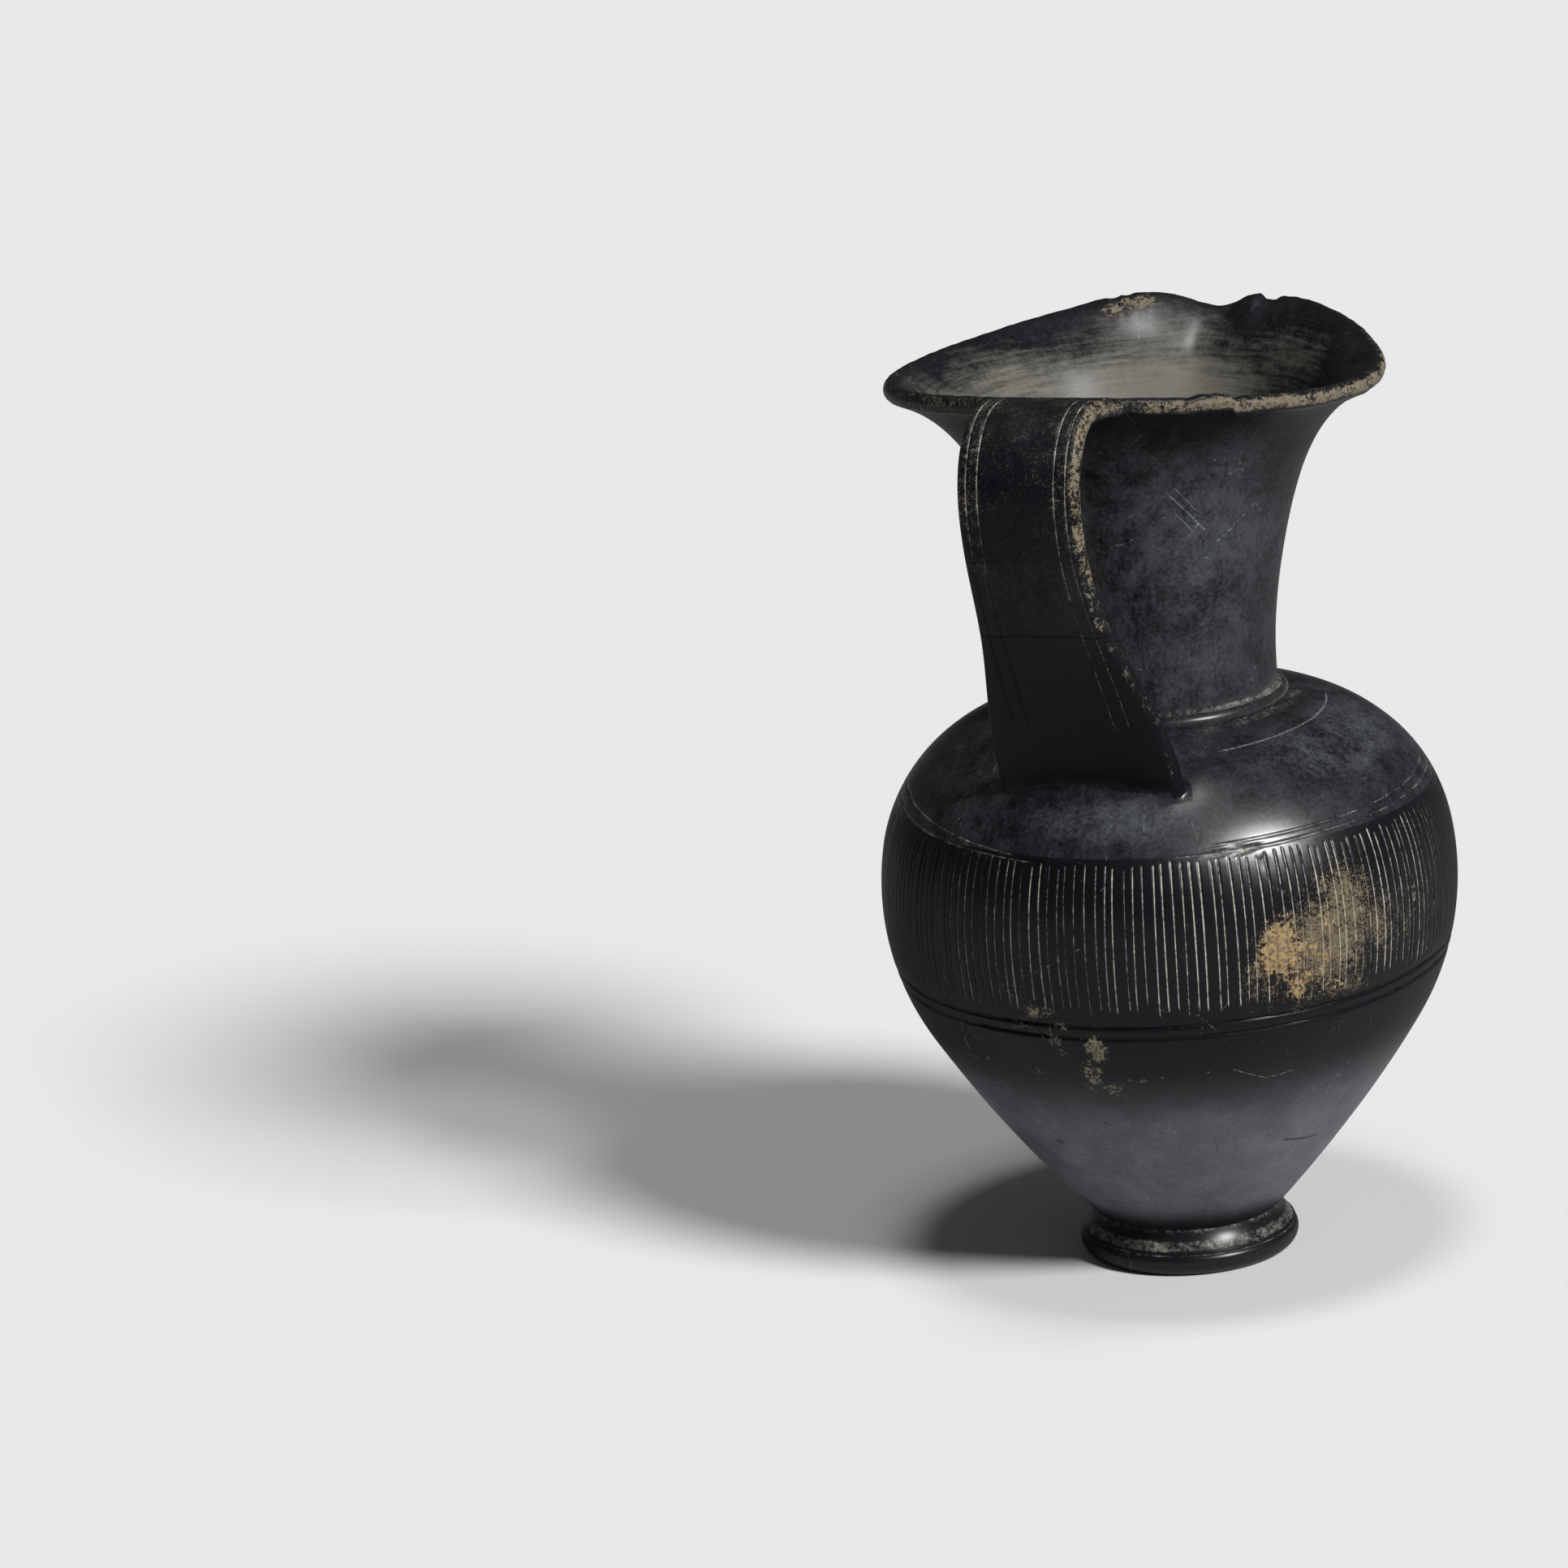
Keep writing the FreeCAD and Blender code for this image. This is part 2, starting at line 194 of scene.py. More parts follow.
@dataclass(frozen=True)
class Blot:
    """A patch of the surface round its middle, which fades outwards."""

    angle: float
    height: float
    wide: float
    high: float
    strength: float = 1.0
    lean: float = 0.0

    def at(self, angle: float, height: float, radius: float) -> float:
        """How strong the patch is at a point of the wall.

        Args:
            angle: From the spout, in degrees.
            height: Over the ground.
            radius: The wall's radius there.

        Returns:
            From 0, outside the patch, to its strength in the middle.
        """
        across = math.radians(turn_between(angle, self.angle)) * radius
        up = height - self.height
        if abs(across) > 3 * (self.wide + self.high) or abs(up) > 3 * (self.wide + self.high):
            return 0.0
        turn = math.radians(self.lean)
        along = across * math.cos(turn) + up * math.sin(turn)
        over = up * math.cos(turn) - across * math.sin(turn)
        far = (along / self.wide) ** 2 + (over / self.high) ** 2
        return self.strength * math.exp(-(far**1.4))


@dataclass(frozen=True)
class Incision:
    """A turned line in the wall, which may begin and end anywhere round the jug."""

    height: float
    depth: float
    half_width: float
    waver: float
    start: float = -180.0
    end: float = 180.0
    climb: float = 0.0
    sway: float = 0.0
    sway_angle: float = -92.0
    sway_half: float = 30.0
    seed: float = 0.0

    def depth_at(self, angle: float, height: float) -> float:
        """How deep the line is at a point of the wall.

        Args:
            angle: From the spout, in degrees.
            height: Over the ground.

        Returns:
            The depth of clay that is gone.
        """
        length = self.end - self.start
        whole = length >= 359.0
        along = (angle - self.start) % 360.0
        if not whole and along > length:
            return 0.0
        fade = 1.0 if whole else between(along, 0, 4) * between(length - along, 0, 4)
        turn = math.radians(angle)
        drift = self.waver * noise.noise(Vector((math.cos(turn) * 2.2, math.sin(turn) * 2.2, self.seed)))
        middle = self.height + drift + self.climb * (along / length - 0.5)
        middle += self.sway * bell(turn_between(angle, self.sway_angle), self.sway_half)
        return self.depth * fade * max(0.0, 1 - abs(height - middle) / self.half_width)


@dataclass(frozen=True)
class Stroke:
    """One upright scratch of the frieze."""

    shift: float
    lean: float
    top: float
    bottom: float
    depth: float
    fill: float


@dataclass
class Frieze:
    """The band of upright strokes, scratched one by one round the belly between its turned lines."""

    count: int = 184
    low: float = 100.8
    high: float = 150.4
    half_width: float = 0.40
    shoulder: float = 0.85
    spacing_waver: float = 0.50
    lean_waver: float = 0.7
    cuts: int = 9
    strokes: list[Stroke] = field(default_factory=list)

    def __post_init__(self) -> None:
        """Draw the strokes."""
        dice = np.random.default_rng(17)
        for index in range(self.count):
            angle = math.radians(index * 360.0 / self.count)
            drift = noise.noise(Vector((math.cos(angle) * 3, math.sin(angle) * 3, 4.0)))
            droop = noise.noise(Vector((math.cos(angle) * 5, math.sin(angle) * 5, 8.0)))
            self.strokes.append(
                Stroke(
                    shift=float(dice.uniform(-1, 1)) * self.spacing_waver,
                    lean=float(dice.uniform(-1, 1)) * self.lean_waver * 0.6 + drift * self.lean_waver,
                    top=self.high - 1.2 + 1.2 * droop - abs(float(dice.normal(0, 0.9))),
                    bottom=self.low + 1.6 - 1.5 * droop + abs(float(dice.normal(0, 2.0))),
                    depth=float(dice.uniform(0.22, 0.38)),
                    fill=float(dice.uniform(0.55, 1.0)),
                )
            )

    def nearest(self, angle: float) -> tuple[int, float]:
        """Find the stroke nearest to an angle.

        Args:
            angle: From the spout, in degrees.

        Returns:
            Its number, and how far off it is in strokes.
        """
        place = angle / 360.0 * self.count
        index = math.floor(place + 0.5)
        return index % self.count, place - index

    def slant(self, stroke: Stroke, height: float) -> float:
        """How far a stroke stands beside its even place at a height."""
        return stroke.shift + stroke.lean * (height - (self.low + self.high) / 2) / (self.high - self.low)

    def bunch(self, angle: float, height: float, radius: float) -> float:
        """Move a column of the mesh so that each stroke has its own edges.

        Args:
            angle: The column's even angle in degrees.
            height: The point's height.
            radius: The wall's radius there.

        Returns:
            The angle that the point gets, in degrees.
        """
        inside = between(height, self.low - 1.2, self.low + 0.8)
        inside *= between(-height, -self.high - 0.8, -self.high + 0.4)
        if inside <= 0:
            return angle
        index, off = self.nearest(angle)
        spacing = 2 * math.pi * radius / self.count
        share = abs(off)
        stops = ((0.0, 0.0), (0.2, self.half_width), (0.4, self.shoulder), (0.5, spacing / 2))
        reach = 0.0
        for (low, near), (high, far) in zip(stops, stops[1:]):
            if share <= high + 1e-6:
                reach = near + (far - near) * (share - low) / (high - low)
                break
        hold = between(0.5 - share, 0.0, 0.12)
        target = math.copysign(reach, off) + self.slant(self.strokes[index], height) * hold
        even = off * spacing
        moved = even + (target - even) * inside
        return angle + (moved - even) / spacing * 360.0 / self.count

    def depth_at(self, angle: float, height: float, radius: float) -> tuple[float, float]:
        """How deep and how full of dust the strokes are, found from a point's real place.

        Args:
            angle: From the spout, in degrees.
            height: Over the ground.
            radius: The wall's radius there.

        Returns:
            The depth of clay that is gone, and the share of dust in it.
        """
        if not self.low < height < self.high:
            return 0.0, 0.0
        best = full = 0.0
        index, _ = self.nearest(angle)
        for step in (-1, 0, 1):
            stroke = self.strokes[(index + step) % self.count]
            middle = (index + step) * 360.0 / self.count + math.degrees(self.slant(stroke, height) / radius)
            off = abs(math.radians(turn_between(angle, middle)) * radius)
            if off < self.half_width:
                ends = between(height, stroke.bottom - 1.2, stroke.bottom + 1.2)
                ends *= between(-height, -stroke.top - 0.6, -stroke.top + 0.6)
                share = ends * (1 - off / self.half_width)
                best = max(best, stroke.depth * share)
                full = max(full, stroke.fill * share)
        return best, full


@dataclass(frozen=True)
class Patina:
    """Where the jug is worn, dusty, crusted or grey with haze, and where a sheen is painted on, as the marks
    of its wall.
    """

    worn: tuple = (
        Blot(-140.0, 120.5, 8.0, 10.0, 0.95),
        Blot(-137.0, 109.0, 8.0, 6.5, 0.62),
        Blot(-132.0, 115.0, 10.0, 10.0, 0.40),
        Blot(-129.5, 129.0, 8.0, 8.0, 0.32),
        Blot(-129.0, 106.0, 9.0, 3.5, 0.50),
    )
    speck: tuple = (
        Blot(-131.0, 119.0, 21.0, 17.0, 1.0, 12.0),
        Blot(-125.5, 131.0, 13.0, 12.0, 0.95, 25.0),
        Blot(-117.0, 121.0, 12.0, 12.0, 0.65),
        Blot(-144.5, 112.0, 8.0, 12.0, 0.60),
        Blot(-109.0, 118.0, 4.0, 14.0, 0.40),
        Blot(-128.0, 104.5, 16.0, 4.0, 0.70),
    )
    crust: tuple = (
        Blot(170.0, 103.5, 9.0, 3.5, 0.72),
        Blot(175.0, 99.0, 6.0, 2.5, 0.64),
        Blot(173.5, 92.0, 3.2, 9.0, 0.60, 20.0),
        Blot(-178.0, 91.0, 4.5, 8.0, 0.78, -15.0),
        Blot(179.5, 83.0, 5.0, 7.0, 0.70),
        Blot(-177.5, 76.0, 9.0, 4.0, 0.60),
        Blot(-171.0, 80.0, 7.0, 3.0, 0.46),
        Blot(166.0, 80.0, 7.0, 10.0, 0.33, 30.0),
        Blot(-105.5, 126.0, 1.6, 7.0, 0.55),
    )
    # Grey patches on the shoulder and the far side: haze of the clay, and at the shoulder's middle, its
    # highlight and its right also a painted sheen.
    haze_and_sheen_patches: tuple = (
        Blot(-175.0, 160.0, 36.0, 8.0, 0.65),
        Blot(-147.0, 151.0, 16.0, 5.0, 0.75),
        Blot(-100.0, 170.0, 50.0, 9.0, 0.68),
        Blot(60.0, 150.0, 60.0, 30.0, 0.5),
    )
    chipped: tuple = (
        Blot(18.0, 288.6, 6.0, 2.4, 0.72),
        Blot(24.5, 287.4, 5.0, 2.2, 0.66),
    )
    dusty_mouth: tuple = (
        Blot(14.0, 258.0, 44.0, 20.0, 1.0),
        Blot(12.0, 274.0, 26.0, 14.0, 0.45),
        Blot(66.0, 268.0, 38.0, 13.0, 0.62),
        Blot(-38.0, 275.0, 24.0, 10.0, 0.34),
        Blot(-25.0, 258.0, 22.0, 12.0, 0.50),
        Blot(118.0, 268.0, 44.0, 14.0, 0.60),
        Blot(-120.0, 262.0, 50.0, 14.0, 0.40),
    )
    burnish: tuple = (
        Blot(-145.0, 153.0, 42.0, 17.0, 1.0),
        Blot(-120.0, 165.0, 30.0, 9.0, 0.5),
        Blot(10.0, 283.0, 14.0, 12.0, 1.0),
        Blot(-110.0, 180.0, 30.0, 5.0, 0.9),
    )

    @staticmethod
    def most(blots: Sequence[Blot], angle: float, height: float, radius: float) -> float:
        """The strongest of some patches at a point."""
        return max(blot.at(angle, height, radius) for blot in blots)

    def gloss(self, zone: Zone, angle: float, height: float, radius: float) -> float:
        """How much of the burnish's gloss is left at a point of the wall.

        Args:
            zone: The stretch of the wall.
            angle: From the spout, in degrees.
            height: Over the ground.
            radius: The wall's radius there.

        Returns:
            From 0, dull, to 1, as the burnisher left it.
        """
        base = {
            Zone.FOOT: 0.45,
            Zone.LOWER: 0.14 + 0.38 * between(-height, -84.0, -50.0),
            Zone.FRIEZE: 0.16,
            Zone.SHOULDER: 0.20,
            Zone.RING: 0.35,
            Zone.NECK: 0.16,
            Zone.FLARE: 0.12,
            Zone.LIP: 0.30,
            Zone.INSIDE: 0.12,
        }[zone]
        left = bell(turn_between(angle, 138.0), 30.0)
        right = bell(turn_between(angle, -76.0), 24.0)
        base *= 1.0 - 0.6 * left - 0.55 * right
        return min(1.0, max(base, self.most(self.burnish, angle, height, radius)))

    def lip_wear(self, angle: float, outward: float) -> float:
        """How far the glossy skin of the lip is worn off.

        Args:
            angle: From the spout, in degrees.
            outward: The place on the lip's rounding, from -1 inside to 1 outside.

        Returns:
            From 0, whole, to 1, bare clay.
        """
        near = between(angle, -172.0, -150.0) * between(-angle, 66.0, 74.0)
        band = between(outward, -0.62, -0.30) * between(0.95 - outward, 0.0, 0.35)
        far = 0.30 * bell(turn_between(angle, 120.0), 70.0) * bell(outward - 0.2, 0.5)
        return max(0.72 * near * band, far)

    def haze_and_sheen(self, zone: Zone, angle: float, height: float, radius: float) -> float:
        """How much grey haze lies on the outer wall, with the painted sheen on the lower wall.

        Args:
            zone: The stretch of the wall.
            angle: From the spout, in degrees.
            height: Over the ground.
            radius: The wall's radius there.

        Returns:
            From 0, black, to 1, grey all over.
        """
        base = {
            Zone.FOOT: 0.10,
            Zone.LOWER: 0.05,
            Zone.FRIEZE: 0.07,
            Zone.SHOULDER: 0.36,
            Zone.RING: 0.35,
            Zone.NECK: 0.50,
            Zone.FLARE: 0.50,
            Zone.LIP: 0.15,
            Zone.INSIDE: 0.25,
        }[zone]
        if zone is Zone.LOWER:
            # Painted sheen: an even grey band over the lower wall up to 88 mm, strongest from 26 to 48 mm,
            # the pale floor's reflection painted into the colour.
            base += 0.85 * between(-height, -88.0, -48.0) * between(height, 14.0, 26.0)
        if zone in (Zone.NECK, Zone.FLARE):
            rubbed = between(angle, -140.0, -105.0) * between(-angle, -60.0, 60.0)
            base += 0.10 * bell(height - 228, 20) - 0.16 * rubbed
        if zone is Zone.FLARE:
            base *= 1 - 0.7 * between(height, 262, 282)
        return min(1.0, max(base, self.most(self.haze_and_sheen_patches, angle, height, radius)))


@dataclass
class Jug:
    """The turned and pressed wall of the jug: foot, belly, neck and trefoil mouth."""

    wall: float = 4.8
    foot_rest: tuple = (31.2, 0.0)
    foot_bulge: float = 1.6
    foot_top: tuple = (33.9, 6.3)
    foot_groove: tuple = ((33.45, 6.7), (33.2, 6.9), (33.4, 7.15), (33.5, 7.5))
    foot_hollow: float = -0.5
    waist: tuple = (29.3, 14.0)
    lower_bulge: float = 1.96
    low: tuple = (77.1, 76.7)
    belly_bulge: float = 5.69
    high: tuple = (88.0, 136.3)
    shoulder_bulge: float = 10.91
    crease: tuple = (40.2, 178.2)
    ring_top: tuple = (37.2, 182.0)
    ring_swell: float = 1.5
    neck_start: float = 190.0
    neck_gain: float = 1.6
    neck_power: float = 1.77
    inner_crease: tuple = (33.0, 177.5)
    inner_high: tuple = (83.4, 135.0)
    inner_low: tuple = (73.3, 79.6)
    floor_edge: tuple = (20.5, 14.0)
    floor_middle: tuple = (0.0, 8.5)
    # The lit side: pale crease lines are strongest here, with a painted highlight on their dust.
    facing: float = -105.0
    root: tuple = (43.55, 242.6)
    bends: tuple = ((0.0, 0.0), (0.14, 0.34), (0.40, 0.82), (1.0, 1.0))
    rim: Rim = field(default_factory=Rim)
    frieze: Frieze = field(default_factory=Frieze)
    patina: Patina = field(default_factory=Patina)
    chips: tuple = (
        Chip(17.0, 13.0, 0.0, 1.0, ragged=0.1),
        Chip(4.5, 5.5, 0.0, 0.8, 2.0, 0.1),
        Chip(-9.6, 2.7, 0.0, 1.0, 2.0),
        Chip(-12.2, 0.9, 0.3, 0.5, 2.0),
        Chip(-16.0, 2.6, 1.3, -1.3),
        Chip(-34.0, 13.0, 0.0, 0.8, ragged=0.1),
        Chip(-52.0, 10.0, 0.0, 1.0, 2.0, 0.1),
        Chip(20.5, 1.3, 0.7, -0.45),
        Chip(24.0, 1.6, 0.9, -0.5),
        Chip(-143.5, 4.6, 0.0, 1.0),
        Chip(-138.2, 1.1, 0.7, -0.5),
        Chip(-100.0, 2.0, 0.5, -0.2),
        Chip(-84.0, 1.5, 0.6, -0.3),
        Chip(-78.0, 1.2, 0.5, -0.2),
    )
    gouges: tuple = (
        Blot(-150.5, 150.4, 4.2, 0.9, 0.55, 8.0),
        Blot(-144.6, 150.6, 5.0, 0.9, 0.50, 12.0),
        Blot(-141.5, 146.6, 1.3, 1.6, 0.40),
        Blot(-146.8, 151.9, 2.2, 1.0, 0.35),
    )
    lower_lines: tuple = (
        Incision(98.8, 0.78, 0.98, 0.35, sway=2.2, seed=1.0),
        Incision(94.9, 0.78, 0.98, 0.35, sway=2.3, seed=2.0),
    )
    upper_lines: tuple = (
        Incision(154.5, 0.30, 0.50, 0.35, -154.0, -72.0, 3.8, seed=3.0),
        Incision(151.9, 0.30, 0.50, 0.35, -163.0, -72.0, 3.4, seed=4.0),
        Incision(153.0, 0.34, 0.55, 0.35, 118.0, 169.0, -6.4, seed=5.0),
        Incision(150.3, 0.34, 0.55, 0.35, 118.0, 173.0, -4.0, seed=6.0),
        Incision(150.0, 0.26, 0.45, 0.2, 170.0, 184.5, -1.7, seed=7.0),
        Incision(152.3, 0.26, 0.45, 0.2, 175.0, 201.0, 0.3, seed=8.0),
        Incision(156.1, 0.30, 0.50, 0.4, -77.0, 122.0, 0.2, seed=9.0),
        Incision(153.0, 0.30, 0.50, 0.4, -80.0, 123.0, 0.2, seed=10.0),
    )

    def neck_radius(self, height: float) -> float:
        """The neck's outer radius at a height over its ring."""
        climbed = max(0.0, height - self.neck_start) / 20.0
        return self.ring_top[0] - 0.1 + self.neck_gain * climbed**self.neck_power

    def flare_point(self, angle: float, row: Row) -> tuple[float, float]:
        """A point of the mouth in its own upright plane, as radius and height.

        Args:
            angle: From the spout, in radians.
            row: The row it lies on, with its share of the flare from the neck to the lip.

        Returns:
            Radius and height in millimetres.
        """
        reach, top = self.rim.at(angle)
        lip = self.rim.thick / 2
        spread = reach - lip - self.root[0]
        rise = top - lip - self.root[1]
        share, rest = row.share, 1 - row.share
        weights = (rest**3, 3 * share * rest**2, 3 * share**2 * rest, share**3)
        both = 6 * share * rest
        slopes = (-3 * rest**2, 3 * rest**2 - both, both - 3 * share**2, 3 * share**2)
        across = self.root[0] + spread * sum(w * b[0] for w, b in zip(weights, self.bends))
        up = self.root[1] + rise * sum(w * b[1] for w, b in zip(weights, self.bends))
        go_out = spread * sum(s * b[0] for s, b in zip(slopes, self.bends))
        go_up = rise * sum(s * b[1] for s, b in zip(slopes, self.bends))
        length = math.hypot(go_out, go_up)
        go_out, go_up = go_out / length, go_up / length
        return across + go_up * row.aside + go_out * row.ahead, up - go_out * row.aside + go_up * row.ahead

    @staticmethod
    def turned(zone: Zone, points: Sequence[tuple], cuts: int = 1) -> list[Row]:
        """Rows of one zone through the given radii and heights."""
        return [Row(zone, cuts, float(radius), float(height)) for radius, height in points]

    @staticmethod
    def along_heights(points: Sequence[tuple], low: float, high: float, step: float) -> list[tuple]:
        """Points at even heights on the curve through the given ones.

        Args:
            points: Radius and height of each point of the curve, from its lowest up.
            low: The height to start over.
            high: The height to end at.
            step: About how far the heights lie apart.

        Returns:
            Radius and height of each point.
        """
        heights = [point[1] for point in points]
        radii = [point[0] for point in points]
        count = max(1, round((high - low) / step))
        places = [low + (high - low) * index / count for index in range(1, count + 1)]
        return [(float(np.interp(place, heights, radii)), place) for place in places]

    def side(self) -> list[tuple]:
        """The outer profile from the waist over the belly to the crease under the neck.

        Returns:
            Radius and height of each point.
        """
        side = [self.waist]
        side += arc_points(self.waist, self.low, self.lower_bulge, 60)
        side += arc_points(self.low, self.high, self.belly_bulge, 80)
        side += arc_points(self.high, self.crease, self.shoulder_bulge, 120)
        return side

    def rows(self) -> list[Row]:
        """Every row of the wall, from the middle of the underside to the middle of the floor inside.

        Returns:
            The rows in their order, close together where lines are cut.
        """
        return self.outer_rows() + self.mouth_rows() + self.inner_rows()

    def outer_rows(self) -> list[Row]:
        """The rows of the underside, the foot, the belly, the ring and the neck.

        Returns:
            The rows, from the middle of the underside up.
        """
        rows = self.turned(Zone.FOOT, [(0, 0), (12, 0), (24, 0), (29.5, 0), self.foot_rest])
        rows += self.turned(Zone.FOOT, arc_points(self.foot_rest, self.foot_top, self.foot_bulge, 8))
        rows += self.turned(Zone.FOOT, self.foot_groove)
        rows += self.turned(Zone.FOOT, arc_points(self.foot_groove[-1], self.waist, self.foot_hollow, 6))
        low, high, fine = self.frieze.low, self.frieze.high, self.frieze.cuts
        stretches = (
            (Zone.LOWER, self.waist[1], 18.0, 1.0, 1),
            (Zone.LOWER, 18.0, 92.4, 2.6, 1),
            (Zone.LOWER, 92.4, low, 0.37, 1),
            (Zone.FRIEZE, low, 103.0, 0.45, fine),
            (Zone.FRIEZE, 103.0, 147.2, 2.4, fine),
            (Zone.FRIEZE, 147.2, high, 0.42, fine),
            (Zone.SHOULDER, high, 157.2, 0.36, 3),
            (Zone.SHOULDER, 157.2, 168.0, 1.3, 2),
            (Zone.SHOULDER, 168.0, 176.4, 0.6, 2),
            (Zone.SHOULDER, 176.4, self.crease[1], 0.3, 1),
        )
        side = self.side()
        for zone, start, end, step, cuts in stretches:
            rows += self.turned(zone, self.along_heights(side, start, end, step), cuts)
        rows += self.turned(Zone.RING, arc_points(self.crease, self.ring_top, self.ring_swell, 9))
        rows += self.turned(Zone.NECK, [(self.neck_radius(z), z) for z in np.arange(182.6, 242.0, 2.2)])
        return rows

    def mouth_rows(self) -> list[Row]:
        """The rows of the pressed mouth.

        Returns:
            The rows, up its outside, over the lip and down its inside.
        """
        rows = []
        half = self.rim.thick / 2
        for share in np.linspace(0.0, 0.97, 22):
            thick = self.wall + (self.rim.thick - self.wall) * share
            cuts = 5 if share > 0.7 else 1
            rows.append(Row(Zone.FLARE, cuts, share=float(share), aside=thick / 2, pressed=True))
        for turn in np.linspace(90.0, -90.0, 12):
            angle = math.radians(turn)
            aside, ahead = half * math.sin(angle), half * math.cos(angle)
            rows.append(Row(Zone.LIP, 5, share=1.0, aside=aside, ahead=ahead, pressed=True))
        for share in np.linspace(0.96, 0.0, 26):
            thick = self.wall + (self.rim.thick - self.wall) * share
            cuts = 5 if share > 0.6 else 1
            rows.append(Row(Zone.INSIDE, cuts, share=float(share), aside=-thick / 2, pressed=True))
        return rows

    def inner_rows(self) -> list[Row]:
        """The rows of the cavity below the mouth.

        Returns:
            The rows, down to the middle of the floor.
        """
        inside = [(self.neck_radius(z) - self.wall, z) for z in np.arange(238.0, 182.0, -4.0)]
        inside.append(self.inner_crease)
        inside += arc_points(self.inner_crease, self.inner_high, -10.5, 14)
        inside += arc_points(self.inner_high, self.inner_low, -5.6, 8)
        inside += arc_points(self.inner_low, self.floor_edge, -1.9, 10)
        inside += arc_points(self.floor_edge, self.floor_middle, -2.0, 4)
        return self.turned(Zone.INSIDE, inside, 0)

    def chip_shift(self, angle: float, row: Row) -> tuple[float, float]:
        """How the chips and dents move a point of the lip.

        Args:
            angle: From the spout, in degrees.
            row: The row it lies on.

        Returns:
            How far it moves inwards and upwards.
        """
        inward = upward = 0.0
        near_lip = between(row.share, 0.80, 1.0)
        if near_lip <= 0:
            return 0.0, 0.0
        for chip in self.chips:
            off = abs(turn_between(angle, chip.angle) / chip.half_angle)
            if off < 2.4:
                grain = 1 + chip.ragged * noise.noise(Vector((angle * 0.9, row.aside * 0.5, 9.0)))
                weight = math.exp(-(off**chip.sharp)) * near_lip * grain
                inward += chip.depth * weight * max(0.0, row.ahead / (self.rim.thick / 2))
                upward += chip.rise * weight
        upward += 0.22 * near_lip * noise.noise(Vector((angle * 0.35, 1.0, row.aside * 0.3)))
        return inward, upward

    def place(self, angle: float, row: Row) -> tuple[Vector, list[float]]:
        """Where a point of the wall ends up, and the marks that it carries.

        Args:
            angle: The column's even angle from the spout, in degrees.
            row: The row it lies on.

        Returns:
            The point in millimetres and a value for each Mark, in their order.
        """
        if row.pressed:
            radius, height = self.flare_point(math.radians(angle), row)
            inward, upward = self.chip_shift(angle, row)
            radius -= inward
            height += upward
        else:
            radius, height = row.radius, row.height
        if row.zone in (Zone.FRIEZE, Zone.LOWER, Zone.SHOULDER):
            angle = self.frieze.bunch(angle, height, radius)
        cut, dust = self.cut_at(angle, height, radius, row.zone)
        turn = math.radians(angle)
        away = Vector((math.cos(turn), math.sin(turn), 0.0))
        point = away * radius + Vector((0, 0, height))
        if radius > 1 and row.zone is not Zone.FOOT:
            soft = noise.noise(point / 55.0) * 0.35 + noise.noise(point / 17.0) * 0.10
            point += away * soft * between(height, 8, 30)
        return point - away * cut, self.marks(angle, height, radius, row, dust)

    def cut_at(self, angle: float, height: float, radius: float, zone: Zone) -> tuple[float, float]:
        """How deep the strokes, lines and gouges are at a point of the outer wall.

        Args:
            angle: From the spout, in degrees.
            height: Over the ground.
            radius: The wall's radius there.
            zone: The stretch of the wall.

        Returns:
            The depth of clay that is gone, and the share of dust in it.
        """
        if zone not in (Zone.LOWER, Zone.FRIEZE, Zone.SHOULDER) or not 90.0 < height < 160.0:
            return 0.0, 0.0
        cut, dust = self.frieze.depth_at(angle, height, radius)
        # Fewer pale strokes on the shaded left: less dust, and painted shade.
        dust *= self.stroke_dust_and_shade(angle)
        if height < 106.0:
            turned = max(line.depth_at(angle, height) for line in self.lower_lines)
            dust = max(dust, 0.30 * turned / self.lower_lines[0].depth)
        else:
            turned = max(line.depth_at(angle, height) for line in self.upper_lines)
            dust = max(dust, 0.50 * turned / self.upper_lines[0].depth)
        gouged = sum(gouge.at(angle, height, radius) for gouge in self.gouges) if height > 140 else 0.0
        return max(cut, turned) + gouged, max(dust, min(0.6, 1.1 * gouged))

    @staticmethod
    def stroke_dust_and_shade(angle: float) -> float:
        """How many of the strokes show pale dust: fewer on the shaded left, from less dust and painted shade
        there, and fewer at the right edge.

        Args:
            angle: From the spout, in degrees.

        Returns:
            The share of a stroke's own dust that shows.
        """
        # Painted shade: fewer pale strokes on the shaded left, besides less dust there.
        left = bell(turn_between(angle, 138.0), 26.0)
        right = bell(turn_between(angle, -84.0), 22.0)
        return 1.0 - 0.55 * left - 0.35 * right

    def marks(self, angle: float, height: float, radius: float, row: Row, dust: float) -> list[float]:
        """A value for each Mark at a point of the wall.

        Args:
            angle: From the spout, in degrees.
            height: Over the ground.
            radius: The wall's radius there.
            row: The row it lies on.
            dust: The dust of the lines there.

        Returns:
            The values, in the order of Mark.
        """
        patina, zone = self.patina, row.zone
        spot = (angle, height, radius)
        facing = bell(turn_between(angle, self.facing), 60.0)
        values = {mark: 0.0 for mark in Mark}
        values[Mark.BLOOM] = patina.haze_and_sheen(zone, *spot)
        values[Mark.GLOSS] = patina.gloss(zone, *spot)
        if zone in (Zone.LOWER, Zone.FRIEZE, Zone.SHOULDER):
            values[Mark.WORN] = patina.most(patina.worn, *spot)
            values[Mark.SPECK] = patina.most(patina.speck, *spot)
            values[Mark.CRUST] = patina.most(patina.crust, *spot)
            # Pale line in the crease under the ring: dust, with a painted highlight that grows towards the
            # lit side.
            dust = max(dust, 0.40 * bell(height - 178.0, 0.6) * (0.4 + 0.6 * facing))
        elif zone is Zone.RING or (zone is Zone.NECK and height < 186):
